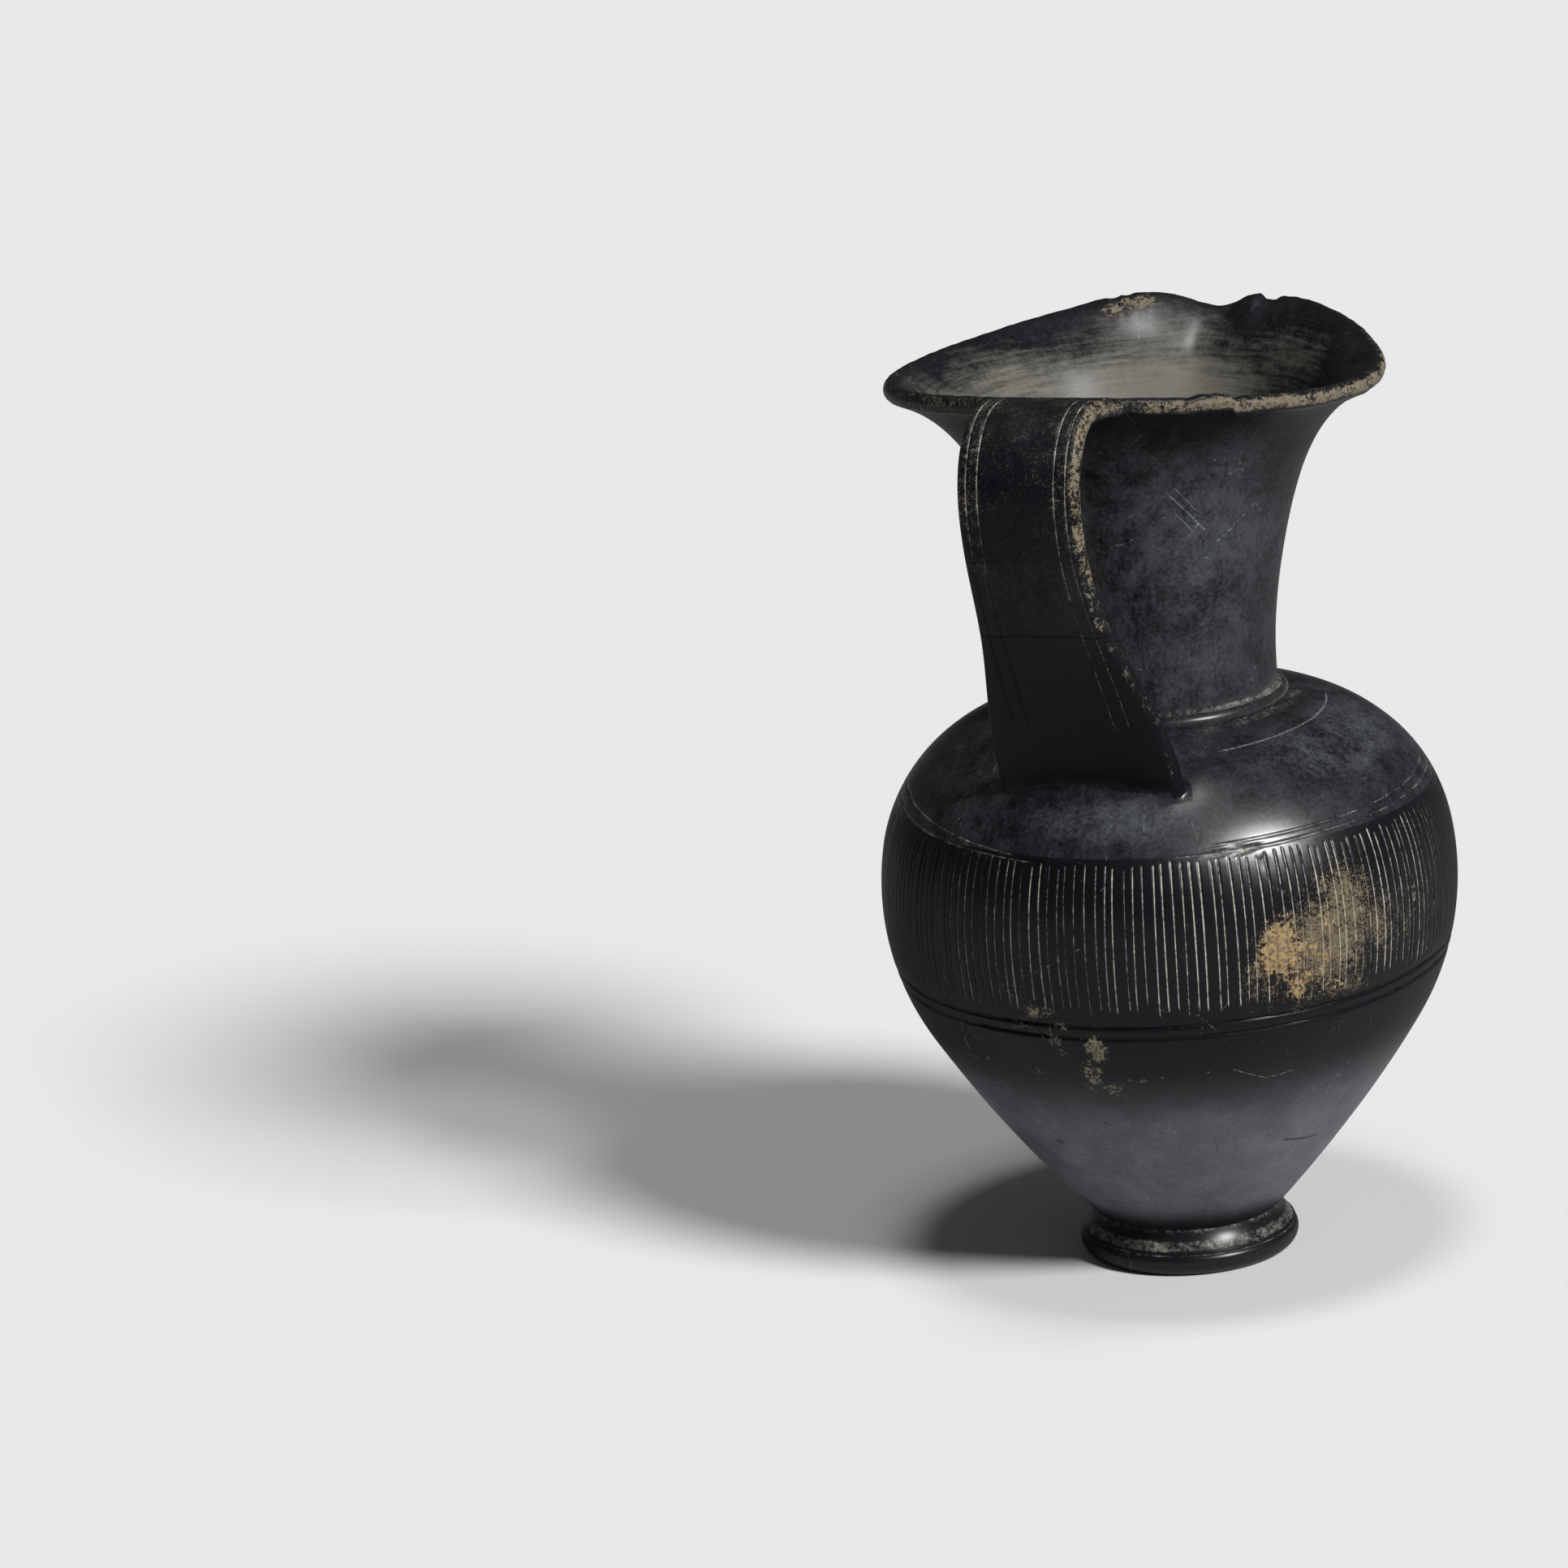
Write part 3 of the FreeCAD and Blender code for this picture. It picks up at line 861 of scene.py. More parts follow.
            # Pale lines in the ring's creases: dust, with a painted highlight that grows towards the lit
            # side.
            creases = max(bell(height - 178.3, 0.5), bell(height - 182.3, 0.6))
            dust = 0.6 * (0.45 + 0.55 * facing) * creases
        elif zone is Zone.FOOT:
            ledge = between(height, 7.2, 8.0) * between(-height, -12.5, -10.5)
            dust = max(0.5 * bell(height - 6.95, 0.3), 0.40 * ledge, 0.42 * bell(height - 13.6, 1.2))
        elif zone is Zone.INSIDE and row.pressed:
            values[Mark.INNER] = patina.most(patina.dusty_mouth, *spot)
            values[Mark.WORN] = patina.most(patina.chipped, *spot)
        elif zone is Zone.LIP:
            half = self.rim.thick / 2
            outward = row.ahead / half
            rounding = outward if row.aside > 0 else 2.0 - outward
            rubbed = patina.lip_wear(angle, row.aside / half)
            values[Mark.WORN] = max(patina.most(patina.chipped, *spot), rubbed)
            values[Mark.SPECK] = 0.5 * bell(rounding - 1.0, 0.6)
        values[Mark.DUST] = min(1.0, dust)
        return [values[mark] for mark in Mark]

    def mean_point(self, row: Row) -> tuple[float, float]:
        """The row's radius and height before the mouth is pressed."""
        return self.flare_point(math.radians(90), row) if row.pressed else (row.radius, row.height)

    def build(self) -> bpy.types.Object:
        """Throw the wall as a turned profile, press its mouth and scratch its lines.

        Returns:
            The jug's wall as a closed mesh in metres, with its marks on each vertex.
        """
        rows = self.rows()
        jug = Workshop.profile([self.mean_point(row) for row in rows], "wall")
        Workshop.spin(jug, COLUMNS)
        for cuts in sorted({row.cuts for row in rows} - {0}):
            Workshop.divide(jug, [index for index, row in enumerate(rows[1:-1], 1) if row.cuts == cuts], cuts)
        mesh = jug.data
        numbers = np.zeros(len(mesh.vertices), np.float32)
        mesh.attributes["row"].data.foreach_get("value", numbers)
        marks = []
        for vertex, number in zip(mesh.vertices, numbers):
            angle = math.degrees(math.atan2(vertex.co.y, vertex.co.x))
            point, values = self.place(angle, rows[int(round(number))])
            vertex.co = point * MM
            marks.append(values)
        Workshop.mark(jug, np.array(marks, np.float32))
        Workshop.finish(jug)
        return jug


class Workshop:
    """The mesh operators that the pieces are made with."""

    @staticmethod
    def only(target: bpy.types.Object) -> None:
        """Select one object and make it the active one.

        Args:
            target: The object.
        """
        bpy.ops.object.select_all(action="DESELECT")
        target.select_set(True)
        bpy.context.view_layer.objects.active = target

    @staticmethod
    def profile(points: Sequence[tuple], name: str) -> bpy.types.Object:
        """Draw a profile in the upright plane, one extruded point after another.

        Args:
            points: Radius and height of each point, in millimetres.
            name: The object's name.

        Returns:
            The open edge chain, with its vertices numbered in a row attribute.
        """
        bpy.ops.object.select_all(action="DESELECT")
        bpy.ops.mesh.primitive_circle_add(vertices=3, radius=0.001, location=(0, 0, 0))
        chain = bpy.context.object
        chain.name = name
        bpy.ops.object.mode_set(mode="EDIT")
        bpy.ops.mesh.select_all(action="SELECT")
        bpy.ops.mesh.merge(type="CENTER")
        first = points[0]
        bpy.ops.transform.translate(value=(first[0] * MM, 0, first[1] * MM))
        for (radius, height), (next_radius, next_height) in zip(points, points[1:]):
            step = ((next_radius - radius) * MM, 0, (next_height - height) * MM)
            bpy.ops.mesh.extrude_region_move(TRANSFORM_OT_translate={"value": step})
        bpy.ops.object.mode_set(mode="OBJECT")
        numbers = chain.data.attributes.new("row", "FLOAT", "POINT")
        numbers.data.foreach_set("value", np.arange(len(chain.data.vertices), dtype=np.float32))
        return chain

    @staticmethod
    def spin(target: bpy.types.Object, steps: int) -> None:
        """Turn a profile once round the upright axis and close its poles.

        Args:
            target: The profile, which becomes the turned mesh.
            steps: How many columns the turn is divided into.
        """
        Workshop.only(target)
        bpy.ops.object.mode_set(mode="EDIT")
        bpy.ops.mesh.select_all(action="SELECT")
        bpy.ops.mesh.spin(steps=steps, angle=math.tau, center=(0, 0, 0), axis=(0, 0, 1), use_auto_merge=True)
        bpy.ops.mesh.select_all(action="SELECT")
        bpy.ops.mesh.remove_doubles(threshold=WELD)
        bpy.ops.object.mode_set(mode="OBJECT")

    @staticmethod
    def divide(target: bpy.types.Object, rows: Sequence[int], cuts: int) -> None:
        """Divide the level edges of some rows, so that they carry finer detail.

        Args:
            target: The turned mesh, with its row attribute.
            rows: The numbers of the rows.
            cuts: How many cuts each edge gets.
        """
        mesh = target.data
        numbers = np.zeros(len(mesh.vertices), np.float32)
        mesh.attributes["row"].data.foreach_get("value", numbers)
        wanted = set(rows)
        Workshop.only(target)
        bpy.ops.object.mode_set(mode="EDIT")
        bpy.ops.mesh.select_mode(type="EDGE")
        bpy.ops.mesh.select_all(action="DESELECT")
        bpy.ops.object.mode_set(mode="OBJECT")
        for edge in mesh.edges:
            first, second = (round(float(numbers[index])) for index in edge.vertices)
            edge.select = first == second and first in wanted
        bpy.ops.object.mode_set(mode="EDIT")
        bpy.ops.mesh.subdivide(number_cuts=cuts, quadcorner="INNERVERT")
        bpy.ops.object.mode_set(mode="OBJECT")

    @staticmethod
    def mark(target: bpy.types.Object, values: np.ndarray) -> None:
        """Keep the marks of a piece on its vertices, with one more that tells later which are its own.

        Args:
            target: The piece.
            values: A row for each vertex, with a value for each Mark in their order.
        """
        for column, mark in enumerate(Mark):
            layer = target.data.attributes.new(mark.value, "FLOAT", "POINT")
            layer.data.foreach_set("value", np.ascontiguousarray(values[:, column]))
        own = target.data.attributes.new("own", "FLOAT", "POINT")
        own.data.foreach_set("value", np.ones(len(target.data.vertices), np.float32))

    @staticmethod
    def apply(target: bpy.types.Object, name: str) -> None:
        """Apply one modifier of a piece."""
        Workshop.only(target)
        bpy.ops.object.modifier_apply(modifier=name)

    @staticmethod
    def unite(target: bpy.types.Object, other: bpy.types.Object, fillet: float, rounds: int) -> None:
        """Join another piece of clay on, and smear the crease where the two meet.

        Args:
            target: The piece that stays.
            other: The piece that goes into it.
            fillet: How far from the crease the clay is smeared, in millimetres.
            rounds: How often it is smoothed.
        """
        union = target.modifiers.new("join", "BOOLEAN")
        union.operation = "UNION"
        union.solver = "MANIFOLD"
        union.object = other
        Workshop.apply(target, "join")
        bpy.data.objects.remove(other)
        mesh = target.data
        own = np.zeros(len(mesh.vertices), np.float32)
        mesh.attributes["own"].data.foreach_get("value", own)
        creased = np.nonzero(own < 0.5)[0]
        log.info("crease: %d vertices", len(creased))
        tree = kdtree.KDTree(len(creased))
        for index in creased:
            tree.insert(mesh.vertices[int(index)].co, int(index))
        tree.balance()
        Workshop.heal(mesh, creased)
        group = target.vertex_groups.new(name="crease")
        for vertex in mesh.vertices:
            _, _, far = tree.find(vertex.co)
            weight = bell(far / MM, fillet)
            if weight > 0.03:
                group.add([vertex.index], weight, "REPLACE")
        smear = target.modifiers.new("smear", "SMOOTH")
        smear.vertex_group = "crease"
        smear.factor = 0.5
        smear.iterations = rounds
        Workshop.apply(target, "smear")

    @staticmethod
    def heal(mesh: bpy.types.Mesh, creased: np.ndarray) -> None:
        """Give the new vertices of a crease the marks of the old ones beside them.

        Args:
            mesh: The joined mesh.
            creased: The numbers of the new vertices.
        """
        missing = set(int(index) for index in creased)
        near = {index: [] for index in missing}
        for edge in mesh.edges:
            first, second = edge.vertices
            if first in missing and second not in missing:
                near[first].append(second)
            elif second in missing and first not in missing:
                near[second].append(first)
        for mark in Mark:
            values = mesh.attributes[mark.value].data
            for index in missing:
                if near[index]:
                    values[index].value = sum(values[other].value for other in near[index]) / len(near[index])

    @staticmethod
    def finish(target: bpy.types.Object) -> None:
        """Turn the faces outwards and smooth their shading.

        Args:
            target: The piece.
        """
        Workshop.only(target)
        bpy.ops.object.mode_set(mode="EDIT")
        bpy.ops.mesh.select_all(action="SELECT")
        bpy.ops.mesh.normals_make_consistent(inside=False)
        bpy.ops.object.mode_set(mode="OBJECT")
        bpy.ops.object.shade_smooth()


class Face(Enum):
    """The stretches of the strap's section."""

    FRONT = "front"
    LINE = "line"
    EDGE = "edge"
    BACK = "back"


@dataclass(frozen=True)
class Column:
    """One place round the strap's section: its stretch, where it lies there, its side and its line."""

    face: Face
    spot: float
    hand: int = 1
    line: int = 0


@dataclass
class Strap:
    """The strap handle: it springs from the lip, arches over, narrows and spreads into the shoulder."""

    rim: Rim
    thick: float = 6.6
    width: float = 37.5
    root_width: float = 58.0
    root_share: float = 0.21
    lip_spread: float = 7.0
    reach: float = 104.0
    crest: float = 3.6
    lean: float = 4.0
    root: tuple = (61.2, 161.2)
    lines: tuple = ((11.8, 13.7), (15.3, 18.5))
    line_half: float = 0.55
    line_beside: float = 1.0
    line_depth: float = 0.36
    rows: int = 130

    def route(self) -> list[tuple]:
        """The control points of the strap's middle line.

        Returns:
            Reach and height of each point, from inside the shoulder to the lip.
        """
        reach, height = self.rim.at(math.pi)
        root_reach, root_height = self.root
        top = height - self.thick / 2 + self.crest
        end = (reach - self.rim.thick, height - self.rim.thick / 2 - 1.2)
        rise = top - root_height
        out = self.reach - root_reach
        back = self.reach - end[0]
        return [
            (root_reach, root_height),
            (root_reach + 0.22 * out, root_height + 0.19 * rise),
            (root_reach + 0.56 * out, root_height + 0.40 * rise),
            (root_reach + 0.87 * out, root_height + 0.61 * rise),
            (self.reach, root_height + 0.82 * rise),
            (self.reach - 0.20 * back, root_height + 0.965 * rise),
            (self.reach - 0.55 * back, top),
            end,
        ]

    @staticmethod
    def spline(points: Sequence[tuple], share: float) -> np.ndarray:
        """A point of the clamped cubic spline that the control points hold.

        Args:
            points: The control points.
            share: From 0 at its start to 1 at its end.

        Returns:
            The point, with as many numbers as a control point has.
        """
        spans = len(points) - 3
        knots = [0.0] * 3 + [float(step) for step in range(spans + 1)] + [float(spans)] * 3
        place = min(share * spans, spans - 1e-9)
        span = int(place) + 3
        work = [np.array(points[span - 3 + step], float) for step in range(4)]
        for level in range(1, 4):
            for step in range(3, level - 1, -1):
                low = knots[span - 3 + step]
                high = knots[span + 1 + step - level]
                mix = (place - low) / (high - low)
                work[step] = (1 - mix) * work[step - 1] + mix * work[step]
        return work[3]

    def half_width_at(self, share: float) -> float:
        """Half the strap's width.

        Args:
            share: From 0 at the shoulder to 1 at the lip.

        Returns:
            The half width in millimetres.
        """
        swell = bell(share, self.root_share)
        spread = self.lip_spread * between(share, 0.90, 1.04) ** 2
        return (self.width + (self.root_width - self.width) * swell) / 2 + spread

    def line_places(self, share: float) -> list[float]:
        """How far each incised line lies from the strap's middle, at a share of its length."""
        return [low + (up - low) * between(share, 0.0, 0.5) for up, low in self.lines]

    def columns(self) -> list[Column]:
        """The places round the section.

        Returns:
            The columns, from the middle of the front over one edge, the back and the other edge.
        """
        steps = (-self.line_beside, -self.line_half, 0.0, self.line_half, self.line_beside)
        right = [Column(Face.FRONT, spot) for spot in (0.0, 0.28, 0.56, 0.82)]
        right += [Column(Face.LINE, step, 1, line) for line in range(len(self.lines)) for step in steps]
        right += [Column(Face.EDGE, float(spot)) for spot in np.linspace(0.08, 1.0, 12)]
        back = [Column(Face.BACK, spot) for spot in (0.8, 0.4, 0.0, -0.4, -0.8)]
        left = [replace(column, hand=-1) for column in reversed(right[1:])]
        return right + back + left

    def place(self, column: Column, share: float) -> tuple[Vector, list[float]]:
        """Where a point of the strap's skin lies, and the marks that it carries.

        Args:
            column: Its place round the section.
            share: From 0 at the shoulder to 1 at the lip.

        Returns:
            The point in millimetres and a value for each Mark, in their order.
        """
        route = self.route()
        reach, height = self.spline(route, share)
        ahead = self.spline(route, min(1.0, share + 0.002)) - self.spline(route, max(0.0, share - 0.002))
        length = math.hypot(*ahead)
        outward = Vector((-ahead[1] / length, 0, -ahead[0] / length))
        drift = self.lean * math.sin(0.5 * math.pi * min(1.0, share * 1.6))
        half = self.half_width_at(share)
        thin = self.thick / 2 * (1 - 0.4 * between(share, 0.93, 1.0))
        flat = half - thin
        places = self.line_places(share)
        spot, hand = column.spot, column.hand
        dust = 0.0
        if column.face is Face.FRONT:
            side, rise = spot * (places[0] - self.line_beside), thin
        elif column.face is Face.BACK:
            side, rise = spot * flat, -thin
        elif column.face is Face.EDGE:
            last = places[-1] + self.line_beside
            start = math.acos(min(1.0, max(0.0, (last - flat) / thin)))
            turn = start + (-math.pi / 2 - start) * spot
            side, rise = flat + thin * math.cos(turn), thin * math.sin(turn)
        else:
            side = places[column.line] + spot
            over = min(1.0, max(0.0, (side - flat) / thin))
            deep = max(0.0, 1 - abs(spot) / self.line_half)
            begun = between(share, 0.08, 0.11)
            dust = math.sqrt(deep) * begun
            rise = thin * math.sqrt(1 - over**2) - self.line_depth * deep * begun
        rise += 0.25 * max(0.0, 1 - (side / half) ** 2)
        point = Vector((-reach, hand * side + drift, height)) + outward * rise
        point += outward * noise.noise(point / 24.0) * 0.3
        return point, self.marks(hand * side, half, rise / thin, point.z, dust)

    def marks(self, side: float, half: float, front: float, height: float, dust: float) -> list[float]:
        """A value for each Mark at a point of the strap.

        Args:
            side: How far it lies from the middle, towards +Y.
            half: Half the strap's width there.
            front: 1 on the outer face, -1 on the inner one.
            height: Over the ground.
            dust: The dust of a line there.

        Returns:
            The values, in the order of Mark.
        """
        values = {mark: 0.0 for mark in Mark}
        rounded = between(abs(side), half - 3.0, half - 1.4)
        high = between(height, 205.0, 258.0)
        if side < 0:
            values[Mark.WORN] = rounded * between(front, -0.9, 0.0) * (0.18 + 0.36 * high)
        else:
            values[Mark.WORN] = 0.30 * rounded * between(front, -0.9, 0.2) * high
        scuffed = 0.14 + 0.20 * between(abs(side), 9.0, 14.0)
        values[Mark.SPECK] = 0.12 + scuffed * between(height, 225.0, 275.0)
        values[Mark.BLOOM] = 0.06 + 0.18 * bell(height - 235.0, 22.0) + 0.15 * between(height, 262.0, 284.0)
        fade = 0.35 if side > 0 else 0.8
        values[Mark.DUST] = 0.62 * dust * (fade + (1.0 - fade) * between(height, 228.0, 262.0))
        values[Mark.STRAP] = between(front, -0.4, 0.6)
        values[Mark.GLOSS] = 0.24 * between(height, 272.0, 286.0)
        return [values[mark] for mark in Mark]

    def build(self) -> bpy.types.Object:
        """Draw the strap along its route.

        Returns:
            The strap as a closed mesh in metres, with its marks on each vertex.
        """
        columns = self.columns()
        around = len(columns)
        bpy.ops.object.select_all(action="DESELECT")
        bpy.ops.mesh.primitive_grid_add(
            x_subdivisions=around, y_subdivisions=self.rows, size=2, location=(0, 0, 0)
        )
        strap = bpy.context.object
        strap.name = "strap"
        marks = []
        for vertex in strap.data.vertices:
            across = round((vertex.co.x + 1) / 2 * around)
            point, values = self.place(columns[across % around], (vertex.co.y + 1) / 2)
            vertex.co = point * MM
            marks.append(values)
        Workshop.mark(strap, np.array(marks, np.float32))
        bpy.ops.object.mode_set(mode="EDIT")
        bpy.ops.mesh.select_all(action="SELECT")
        bpy.ops.mesh.remove_doubles(threshold=WELD)
        bpy.ops.mesh.select_all(action="DESELECT")
        bpy.ops.mesh.select_mode(type="EDGE")
        bpy.ops.mesh.select_non_manifold()
        bpy.ops.mesh.edge_face_add()
        bpy.ops.object.mode_set(mode="OBJECT")
        Workshop.finish(strap)
        return strap


class Wire:
    """The value of one socket, which takes part in sums."""

    def __init__(self, bench: "Bench", socket: bpy.types.NodeSocket) -> None:
        """Hold a socket of a bench's tree."""
        self.bench = bench
        self.socket = socket

    def _sum(self, operation: str, first: Any, second: Any) -> "Wire":
        """Add one Math node."""
        return self.bench.node("ShaderNodeMath", {"operation": operation}, {0: first, 1: second})

    def __add__(self, other: Any) -> "Wire":
        """This plus another."""
        return self._sum("ADD", self, other)

    def __sub__(self, other: Any) -> "Wire":
        """This less another."""
        return self._sum("SUBTRACT", self, other)

    def __mul__(self, other: Any) -> "Wire":
        """This times another."""
        return self._sum("MULTIPLY", self, other)

    def __truediv__(self, other: Any) -> "Wire":
        """This divided by another."""
        return self._sum("DIVIDE", self, other)

    def __rsub__(self, other: Any) -> "Wire":
        """Another less this."""
        return self._sum("SUBTRACT", other, self)

    __radd__ = __add__
    __rmul__ = __mul__

    def __abs__(self) -> "Wire":
        """Its size without its sign."""
        return self._sum("ABSOLUTE", self, 0.0)

    def most(self, other: Any) -> "Wire":
        """The greater of this and another."""
        return self._sum("MAXIMUM", self, other)

    def least(self, other: Any) -> "Wire":
        """The smaller of this and another."""
        return self._sum("MINIMUM", self, other)

    def smooth(self, low: float, high: float) -> "Wire":
        """A smooth step from 0 at low to 1 at high."""
        sockets = {"Value": self, "From Min": low, "From Max": high}
        return self.bench.node("ShaderNodeMapRange", {"interpolation_type": "SMOOTHSTEP"}, sockets)


Value = Union[Wire, float, tuple]


class Bench:
    """A material on the bench: its tree, and the ways that nodes are added to it."""

    def __init__(self, name: str) -> None:
        """Start a material with its shader.

        Args:
            name: The material's name.
        """
        self.material = bpy.data.materials.new(name)
        self.material.use_nodes = True
        self.tree = self.material.node_tree
        self.shader = self.tree.nodes["Principled BSDF"]

    def node(self, kind: str, settings: dict, sockets: dict, output: Union[int, str] = 0) -> Wire:
        """Add a node.

        Args:
            kind: The node's type.
            settings: Its settings, which are set first.
            sockets: The value or link of each input, by name or number.
            output: The output that is wanted.

        Returns:
            That output.
        """
        node = self.tree.nodes.new(kind)
        for name, value in settings.items():
            setattr(node, name, value)
        for name, value in sockets.items():
            self.feed(node.inputs[name], value)
        return Wire(self, node.outputs[output])

    def feed(self, socket: bpy.types.NodeSocket, value: Value) -> None:
        """Give an input a value or a link.

        Args:
            socket: The input.
            value: A number, a colour or another socket's value.
        """
        if isinstance(value, Wire):
            self.tree.links.new(value.socket, socket)
        else:
            socket.default_value = value

    def spot(self) -> Wire:
        """The point on the piece, in millimetres."""
        place = self.node("ShaderNodeTexCoord", {}, {}, "Object")
        return self.node("ShaderNodeVectorMath", {"operation": "SCALE"}, {0: place, "Scale": 1 / MM})

    def stretched(self, spot: Wire, ways: tuple) -> Wire:
        """The point with each of its ways multiplied."""
        return self.node("ShaderNodeVectorMath", {"operation": "MULTIPLY"}, {0: spot, 1: ways})

    def parts(self, spot: Wire) -> tuple[Wire, Wire, Wire]:
        """The three numbers of a point."""
        first = self.node("ShaderNodeSeparateXYZ", {}, {0: spot})
        return first, Wire(self, first.socket.node.outputs[1]), Wire(self, first.socket.node.outputs[2])

    def mark(self, mark: Mark) -> Wire:
        """One of the marks that the mesh carries."""
        return self.node("ShaderNodeAttribute", {"attribute_name": mark.value}, {}, "Fac")

    def cloud(self, spot: Wire, size: float, detail: float, rough: float, warp: float = 0.0) -> Wire:
        """Cloudy noise.

        Args:
            spot: The point on the piece.
            size: About how large its largest spots are, in millimetres.
            detail: How many finer noises are added.
            rough: How strong they are.
            warp: How far the clouds are drawn about.

        Returns:
            The noise, from 0 to 1.
        """
        sockets = {"Vector": spot, "Scale": 1 / size, "Detail": detail, "Roughness": rough}
        sockets["Distortion"] = warp
        return self.node("ShaderNodeTexNoise", {"noise_dimensions": "3D"}, sockets)

    def cells(self, spot: Wire, size: float, feature: str, output: str) -> Wire:
        """Cells about a size in millimetres across."""
        sockets = {"Vector": spot, "Scale": 1 / size}
        return self.node("ShaderNodeTexVoronoi", {"feature": feature}, sockets, output)

    def mix(self, share: Value, first: Value, second: Value) -> Wire:
        """Two colours mixed by a share."""
        colours = {0: share, 6: self.full(first), 7: self.full(second)}
        return self.node("ShaderNodeMix", {"data_type": "RGBA", "clamp_factor": True}, colours, 2)

    @staticmethod
    def full(colour: Value) -> Value:
        """A colour with its fourth number."""
        return (*colour, 1.0) if isinstance(colour, tuple) and len(colour) == 3 else colour

    def gap_to(self, spot: Wire, start: tuple, end: tuple) -> Wire:
        """How far the point lies from a straight scratch.

        Args:
            spot: The point on the piece.
            start: Where the scratch begins.
            end: Where it ends.

        Returns:
            The distance in millimetres.
        """
        kind = "ShaderNodeVectorMath"
        way = Vector(end) - Vector(start)
        off = self.node(kind, {"operation": "SUBTRACT"}, {0: spot, 1: start})
        along = self.node(kind, {"operation": "DOT_PRODUCT"}, {0: off, 1: tuple(way)}, "Value")
        share = (along / way.length_squared).most(0.0).least(1.0)
        foot = self.node(kind, {"operation": "SCALE"}, {0: tuple(way), "Scale": share})
        return self.node(kind, {"operation": "DISTANCE"}, {0: off, 1: foot}, "Value")


@dataclass(frozen=True)
class Scratch:
    """A hairline between points of the wall, each an angle, a height and a radius."""

    points: tuple
    half: float
    pale: bool = True

    def ends(self) -> list[tuple]:
        """The points in the frame."""
        turned = [(math.radians(angle), height, radius) for angle, height, radius in self.points]
        return [(radius * math.cos(turn), radius * math.sin(turn), height) for turn, height, radius in turned]


@dataclass(frozen=True)
class Grain:
    """The noises that mottle the clay, from the largest to the finest, and two that are drawn out."""

    large: Wire
    middle: Wire
    small: Wire
    fine: Wire
    wiped: Wire
    rubbed: Wire

    @classmethod
    def of(cls, bench: Bench, spot: Wire) -> "Grain":
        """Add the noises to a material.

        Args:
            bench: The material.
            spot: The point on the piece.

        Returns:
            The noises, each from 0 to 1.
        """
        level = bench.stretched(spot, (0.07, 0.07, 1.0))
        upright = bench.stretched(spot, (1.0, 1.0, 0.12))
        return cls(
            large=bench.cloud(spot, 26.0, 7.0, 0.62, 0.6),
            middle=bench.cloud(spot, 6.0, 5.0, 0.60),
            small=bench.cloud(spot, 1.3, 3.0, 0.65),
            fine=bench.cloud(spot, 0.45, 2.0, 0.6),
            wiped=bench.cloud(level, 1.1, 3.0, 0.6),
            rubbed=bench.cloud(upright, 1.6, 4.0, 0.6),
        )

    def ragged(self, **shares: float) -> Wire:
        """The sum of some noises, each moved to lie about 0 and multiplied by its share."""
        parts = [(getattr(self, name) - 0.5) * share for name, share in shares.items()]
        return sum(parts[1:], parts[0])


@dataclass(frozen=True)
class Patch:
    """How noise breaks a mark up into a patch with an uneven edge."""

    edge: dict
    soft: tuple
    kept: tuple
    gain: float = 1.0

    def of(self, mark: Wire, grain: Grain) -> Wire:
        """How much of the surface the patch covers.

        Args:
            mark: The mark that the mesh carries.
            grain: The material's noises.

        Returns:
            From 0, untouched, to 1, covered.
        """
        uneven = mark * self.gain + grain.ragged(**self.edge)
        return uneven.smooth(*self.soft) * mark.smooth(*self.kept)


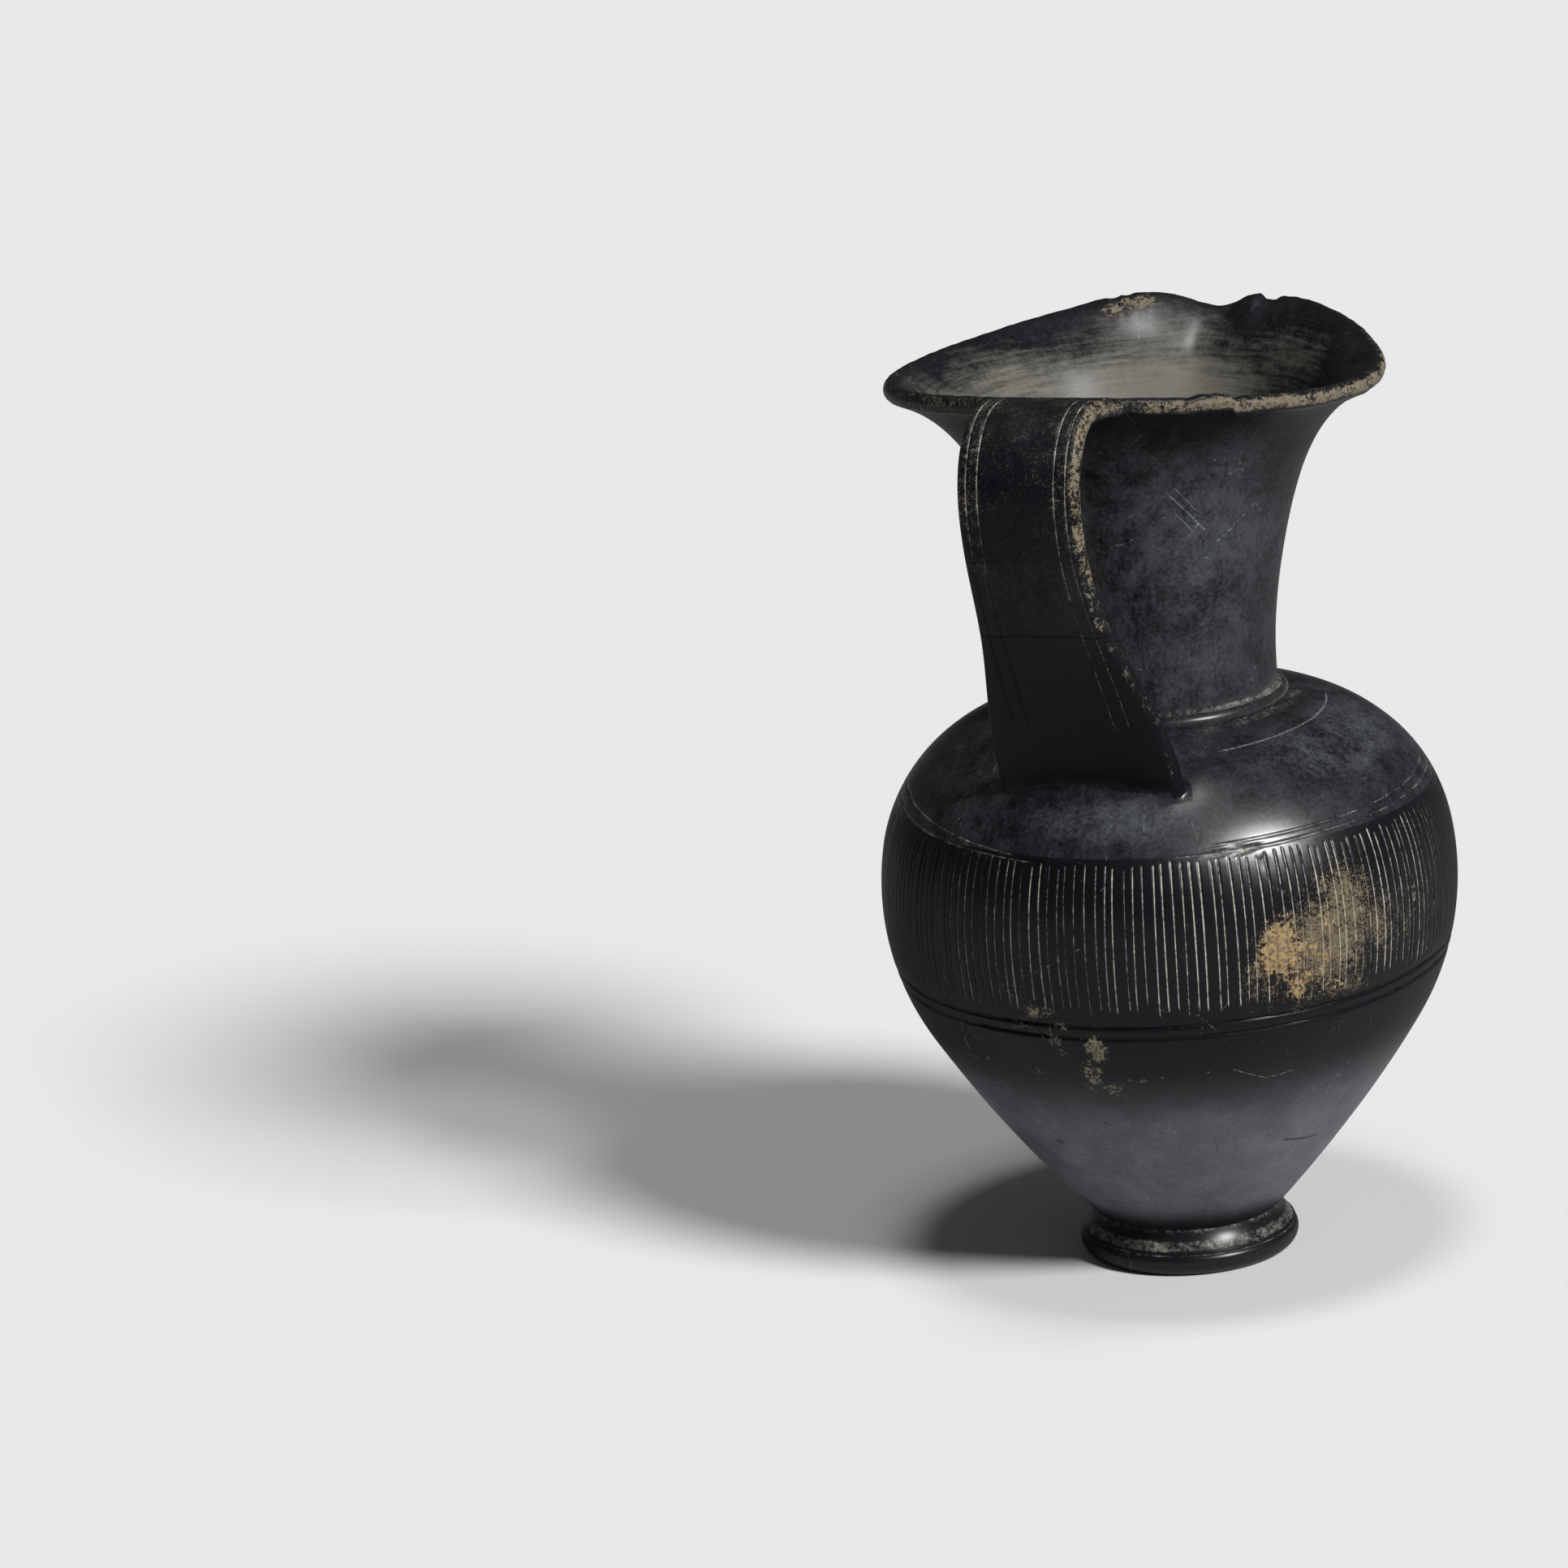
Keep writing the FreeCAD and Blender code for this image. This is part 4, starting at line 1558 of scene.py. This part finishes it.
@dataclass(frozen=True)
class BurnishedClay:
    """Burnished black clay with its grey haze, a painted sheen on the lower wall, wear, dust, crust and
    scratches.
    """

    coal: tuple = (0.0040, 0.0046, 0.0058)
    slate: tuple = (0.075, 0.080, 0.088)
    # Painted sheen: the colour of the pale floor's reflection on the lower wall.
    sheen_violet: tuple = (0.120, 0.118, 0.138)
    drab: tuple = (0.150, 0.144, 0.121)
    tan: tuple = (0.150, 0.130, 0.092)
    ochre: tuple = (0.32, 0.215, 0.100)
    umber: tuple = (0.100, 0.080, 0.052)
    dust: tuple = (0.46, 0.44, 0.38)
    chalk: tuple = (0.27, 0.25, 0.20)
    pale: tuple = (0.50, 0.52, 0.54)
    pit: tuple = (0.004, 0.004, 0.004)
    gloss: float = 0.25
    coat_roughness: float = 0.31
    specular: float = 0.06
    crack_height: float = 221.5
    curve_start: float = -144.0
    curve_sweep: float = 77.0
    curve_radii: tuple = (56.8, -7.0, 1.6)
    inner_dust: Patch = Patch({"middle": 0.5, "wiped": 0.9, "small": 0.4}, (0.05, 1.05), (0.0, 0.15), 1.1)
    crust: Patch = Patch({"middle": 0.9, "small": 1.1}, (0.48, 0.72), (0.05, 0.2))
    speckle: Patch = Patch({"fine": 1.5, "small": 0.9, "middle": 0.7}, (0.34, 0.66), (0.04, 0.3), 0.66)
    wear: Patch = Patch({"middle": 1.5, "small": 1.5, "fine": 1.0}, (0.38, 0.66), (0.05, 0.25))
    scratches: tuple = (
        Scratch(((-153.9, 253.8, 49.6), (-147.2, 247.6, 47.5), (-139.1, 240.3, 45.3)), 0.20),
        Scratch(((-151.0, 255.0, 49.9), (-143.0, 247.0, 47.3)), 0.14),
        Scratch(((-150.5, 246.5, 47.2), (-143.5, 240.0, 45.3)), 0.14),
        Scratch(((-173.9, 237.3, 44.4), (-169.5, 237.9, 44.6), (-166.9, 239.3, 45.0)), 0.16),
        Scratch(((-149.4, 81.7, 79.9), (-141.5, 76.7, 77.1), (-133.4, 78.0, 77.9)), 0.16),
        Scratch(((-129.4, 49.0, 58.4), (-121.0, 47.0, 57.0), (-114.8, 46.3, 56.4)), 0.45, False),
        Scratch(((158.3, 51.5, 60.2), (159.8, 50.8, 59.7)), 0.55, False),
        Scratch(((178.0, 62.3, 67.8), (-167.3, 58.8, 65.4), (-152.4, 53.9, 61.9)), 0.16, False),
        Scratch(((-152.4, 53.9, 61.9), (-151.4, 49.3, 58.6)), 0.16, False),
    )

    def lines(self, bench: Bench, spot: Wire, ragged: Wire, pale: bool) -> Wire:
        """The mask of the pale or the dark scratches.

        Args:
            bench: The material.
            spot: The point on the piece.
            ragged: What breaks them up.
            pale: Whether the pale ones are wanted.

        Returns:
            From 0, off the scratches, to 1, on one.
        """
        mask = None
        for scratch in self.scratches:
            if scratch.pale is not pale:
                continue
            ends = scratch.ends()
            for start, end in zip(ends, ends[1:]):
                line = 1.0 - bench.gap_to(spot, start, end).smooth(scratch.half * 0.4, scratch.half * 1.6)
                mask = line if mask is None else mask.most(line)
        return mask * ragged

    def shoulder_scratch(self, bench: Bench, spot: Wire, ragged: Wire) -> Wire:
        """The mask of the long pale scratch that curves round the shoulder.

        Args:
            bench: The material.
            spot: The point on the piece.
            ragged: What breaks it up.

        Returns:
            From 0, off the scratch, to 1, on it.
        """
        across, deep, height = bench.parts(spot)
        turn = bench.node("ShaderNodeMath", {"operation": "ARCTAN2"}, {0: deep, 1: across})
        share = (turn * math.degrees(1.0) - self.curve_start) / self.curve_sweep
        flat = bench.stretched(spot, (1.0, 1.0, 0.0))
        radius = bench.node("ShaderNodeVectorMath", {"operation": "LENGTH"}, {0: flat}, "Value")
        start, draw, ease = self.curve_radii
        line = start + share * draw + share * share * ease
        mask = 1.0 - abs(radius - line).smooth(0.10, 0.42)
        ends = share.smooth(-0.02, 0.05) * (1.0 - share).smooth(0.0, 0.06)
        level = height.smooth(170.0, 172.0) * (1.0 - height.smooth(180.0, 182.0))
        return mask * ends * level * ragged

    @staticmethod
    def haze_with_sheen(grain: Grain, mark: Wire, height: Wire) -> Wire:
        """How thick the grey haze lies: in clouds over the band, and under it an even painted sheen with
        level streaks.

        Args:
            grain: The material's noises.
            mark: The haze and painted sheen that the mesh carries.
            height: Over the ground.

        Returns:
            From 0, none, to about 1, fully covered.
        """
        clouds = grain.large * 0.9 + 0.09 + grain.ragged(middle=0.55, small=0.62, fine=0.3, rubbed=0.25)
        # Painted sheen: under the band the clouds give way to an even sheen with level streaks.
        low = 1.0 - height.smooth(84.0, 100.0)
        streaks = grain.wiped * 0.26 + 0.30 + grain.ragged(large=0.45)
        haze_and_sheen = clouds.smooth(0.26, 0.86) * (1.0 - low * 0.72) + low * streaks
        return haze_and_sheen * mark.smooth(0.02, 0.95) * 1.25

    @staticmethod
    def flecks(bench: Bench, spot: Wire, grain: Grain) -> Wire:
        """The mask of the small pale flecks.

        Args:
            bench: The material.
            spot: The point on the piece.
            grain: The material's noises.

        Returns:
            From 0, off the flecks, to 1, on one.
        """
        far = bench.cells(spot, 4.5, "F1", "Distance")
        shade = bench.cells(spot, 4.5, "F1", "Color")
        picked = bench.node("ShaderNodeSeparateColor", {}, {0: shade})
        return (1.0 - far.smooth(0.03, 0.075)) * picked.smooth(0.80, 0.90) * grain.small.smooth(0.35, 0.6)

    @staticmethod
    def hairs(bench: Bench, spot: Wire, grain: Grain) -> Wire:
        """The mask of the finest pale hairlines.

        Args:
            bench: The material.
            spot: The point on the piece.
            grain: The material's noises.

        Returns:
            From 0, off the hairlines, to 1, on one.
        """
        drawn = bench.stretched(spot, (1.0, 1.0, 0.55))
        far = bench.cells(drawn, 17.0, "DISTANCE_TO_EDGE", "Distance")
        broken = grain.large.smooth(0.50, 0.62) * grain.small.smooth(0.45, 0.7)
        return (1.0 - far.smooth(0.0, 0.010)) * broken

    def bare(self, bench: Bench, grain: Grain, belly: Wire) -> Wire:
        """The colour of the clay where its black skin is worn off.

        Args:
            bench: The material.
            grain: The material's noises.
            belly: 1 on the band of the belly, where the clay is ochre, and 0 elsewhere.

        Returns:
            The colour.
        """
        bare = bench.mix(belly.most(grain.large.smooth(0.50, 0.66) * 0.3), self.tan, self.ochre)
        bare = bench.mix((1.0 - grain.small.smooth(0.38, 0.60)) * 0.85, bare, self.umber)
        return bench.mix(grain.fine.smooth(0.50, 0.72) * 0.5, bare, self.chalk)

    def crack(self, grain: Grain, strap: Wire, height: Wire) -> Wire:
        """The mask of the level crack across the strap.

        Args:
            grain: The material's noises.
            strap: 1 on the strap's outer face, and 0 elsewhere.
            height: Over the ground.

        Returns:
            From 0, off the crack, to 1, on it.
        """
        off = abs(height - self.crack_height + grain.ragged(middle=2.4))
        return (1.0 - off.smooth(0.10, 0.34)) * strap * grain.middle.smooth(0.30, 0.42)

    def make(self) -> bpy.types.Material:
        """Mix the clay.

        Returns:
            The material.
        """
        bench = Bench("burnished_clay")
        spot = bench.spot()
        height = bench.parts(spot)[2]
        marks = {mark: bench.mark(mark) for mark in Mark}
        grain = Grain.of(bench, spot)
        belly = height.smooth(90.0, 96.0) * (1.0 - height.smooth(150.0, 156.0))

        haze_and_sheen = self.haze_with_sheen(grain, marks[Mark.BLOOM], height)
        # Painted sheen: the grey takes the floor's reflection colour towards the bottom.
        tone = bench.mix(height.smooth(60.0, 105.0), self.sheen_violet, self.slate)
        colour = bench.mix(haze_and_sheen, self.coal, tone)
        inner = self.inner_dust.of(marks[Mark.INNER], grain)
        colour = bench.mix(inner, colour, self.drab)
        colour = bench.mix(self.flecks(bench, spot, grain) * 0.45, colour, self.pale)
        hairs = self.hairs(bench, spot, grain) * (1.0 - marks[Mark.STRAP])
        colour = bench.mix(hairs * 0.30, colour, self.pale)

        crusted = self.crust.of(marks[Mark.CRUST], grain)
        crust_tone = bench.mix(grain.small.smooth(0.4, 0.62) * 0.55, self.umber, self.chalk)
        colour = bench.mix(crusted, colour, crust_tone)
        speckled = self.speckle.of(marks[Mark.SPECK], grain)
        colour = bench.mix(speckled * 0.74, colour, bench.mix(belly * 0.20, self.tan, self.ochre))
        worn = self.wear.of(marks[Mark.WORN], grain)
        colour = bench.mix(worn, colour, self.bare(bench, grain, belly))

        filled = marks[Mark.DUST] * (grain.small * 1.3 + 0.15 + grain.ragged(middle=0.9))
        dusted = filled.smooth(0.22, 0.72) * (grain.middle * 0.9 + 0.45)
        colour = bench.mix(dusted, colour, bench.mix(worn, self.dust, self.chalk))
        ragged = grain.small.smooth(0.30, 0.62) * 0.9
        scored = self.lines(bench, spot, ragged, True).most(self.shoulder_scratch(bench, spot, ragged))
        colour = bench.mix(scored * 0.34, colour, self.pale)
        nicks = self.lines(bench, spot, grain.small.smooth(0.2, 0.5), False)
        dark = nicks.most(self.crack(grain, marks[Mark.STRAP], height))
        colour = bench.mix(dark * 0.85, colour, self.pit)

        matt = (haze_and_sheen * 0.12).most(inner * 0.16).most(crusted * 0.5).most(worn * 0.45)
        matt = matt.most(speckled * 0.35).most(dusted * 0.45)
        facing = bench.node("ShaderNodeLayerWeight", {}, {"Blend": 0.5}, "Facing")
        rough = self.gloss + matt + grain.ragged(small=0.10, middle=0.08) + facing.smooth(0.18, 0.62) * 0.45
        relief = grain.fine * 0.005 + grain.small * 0.018 + grain.wiped * 0.012 + grain.middle * 0.07
        relief = relief + crusted * (grain.small * 0.35 + 0.10) - worn * (grain.small * 0.16 + 0.10)
        relief = relief - speckled * 0.05 - dark * 0.25 - scored * 0.05 + inner * grain.ragged(wiped=0.15)
        covered = worn.most(dusted * 0.8).most(crusted).most(speckled * 0.7).most(inner * 0.6)
        polish = marks[Mark.GLOSS] * (1.0 - covered.most(haze_and_sheen * 0.3)) * (grain.small * 0.5 + 0.75)
        bump = bench.node("ShaderNodeBump", {}, {"Strength": 1.0, "Distance": MM, "Height": relief}, "Normal")

        shader = bench.shader
        shader.inputs["Specular IOR Level"].default_value = self.specular
        shader.inputs["Coat Roughness"].default_value = self.coat_roughness
        varied = {"Base Color": colour, "Roughness": rough, "Coat Weight": polish, "Normal": bump}
        for name, wire in varied.items():
            bench.feed(shader.inputs[name], wire)
        return bench.material


@dataclass(frozen=True)
class Backdrop:
    """The pale floor that the jug stands on."""

    size: float = 14.0
    paint: tuple = (0.67, 0.67, 0.68)

    def build(self) -> bpy.types.Object:
        """Lay the floor.

        Returns:
            The floor, which isn't part of the object.
        """
        bpy.ops.object.select_all(action="DESELECT")
        bpy.ops.mesh.primitive_grid_add(
            x_subdivisions=4, y_subdivisions=4, size=self.size, location=(0, 0, 0)
        )
        floor = bpy.context.object
        floor.name = "pale_floor"
        bench = Bench("pale_floor")
        bench.feed(bench.shader.inputs["Base Color"], bench.full(self.paint))
        bench.shader.inputs["Roughness"].default_value = 0.9
        bench.shader.inputs["Specular IOR Level"].default_value = 0.0
        floor.data.materials.append(bench.material)
        return floor


@dataclass(frozen=True)
class Viewpoint:
    """The camera, at the photograph's viewing angle."""

    place: tuple = (-1733.14, -596.77, 657.10)
    right: tuple = (0.36571, -0.92778, -0.07403)
    up: tuple = (0.27094, 0.03003, 0.96213)
    lens: float = 140.44
    sensor: float = 36.0

    def build(self) -> bpy.types.Object:
        """Set the camera up.

        Returns:
            The camera.
        """
        camera = bpy.data.cameras.new("camera")
        camera.lens = self.lens
        camera.sensor_width = self.sensor
        camera.clip_end = 50.0
        stand = bpy.data.objects.new("camera", camera)
        bpy.context.scene.collection.objects.link(stand)
        right = Vector(self.right).normalized()
        up = (Vector(self.up) - right * right.dot(Vector(self.up))).normalized()
        back = right.cross(up)
        turn = Matrix((right, up, back)).transposed().to_4x4()
        stand.matrix_world = Matrix.Translation(Vector(self.place) * MM) @ turn
        bpy.context.scene.camera = stand
        return stand


@dataclass(frozen=True)
class Lamp:
    """A soft, distant light: where it stands, how wide it looks from the jug, and its power."""

    name: str
    azimuth: float
    elevation: float
    width: float
    power: float

    def hang(self) -> None:
        """Hang the light."""
        light = bpy.data.lights.new(self.name, "SUN")
        light.angle = math.radians(self.width)
        light.energy = self.power
        turn, lift = math.radians(self.azimuth), math.radians(self.elevation)
        way = Vector((math.cos(turn) * math.cos(lift), math.sin(turn) * math.cos(lift), math.sin(lift)))
        stand = bpy.data.objects.new(self.name, light)
        bpy.context.scene.collection.objects.link(stand)
        stand.location = way * 2.0
        stand.rotation_euler = (-way).to_track_quat("-Z", "Y").to_euler()


@dataclass(frozen=True)
class Studio:
    """Plain light: a soft key light, a soft light overhead and a dim surrounding."""

    lamps: tuple = (Lamp("key", -114.0, 38.0, 14.0, 4.2), Lamp("top", -150.0, 84.0, 12.0, 1.0))
    surrounding: float = 0.07

    def build(self) -> None:
        """Hang the lights and set the surrounding."""
        for lamp in self.lamps:
            lamp.hang()
        world = bpy.data.worlds.new("surrounding")
        world.use_nodes = True
        bpy.context.scene.world = world
        ground = world.node_tree.nodes["Background"]
        ground.inputs["Color"].default_value = (1, 1, 1, 1)
        ground.inputs["Strength"].default_value = self.surrounding
        bpy.context.scene.view_settings.view_transform = "Standard"


def main() -> None:
    """Build the jug, its floor, its light and its camera."""
    logging.basicConfig(level=logging.INFO)
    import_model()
    Viewpoint().build()
    Backdrop().build()
    Studio().build()
    body = Jug()
    jug = body.build()
    log.info("wall: %d vertices", len(jug.data.vertices))
    strap = Strap(body.rim).build()
    log.info("strap: %d vertices", len(strap.data.vertices))
    Workshop.unite(jug, strap, fillet=3.0, rounds=12)
    jug.name = "jug"
    bpy.ops.object.shade_smooth_by_angle(angle=math.radians(SHARP_DEGREES))
    jug.data.materials.clear()
    jug.data.materials.append(BurnishedClay().make())
    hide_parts(NODE)
    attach(jug, BODY)
    bpy.context.view_layer.update()
    log.info("jug: %d vertices, %d faces", len(jug.data.vertices), len(jug.data.polygons))


if __name__ == "__main__":
    main()
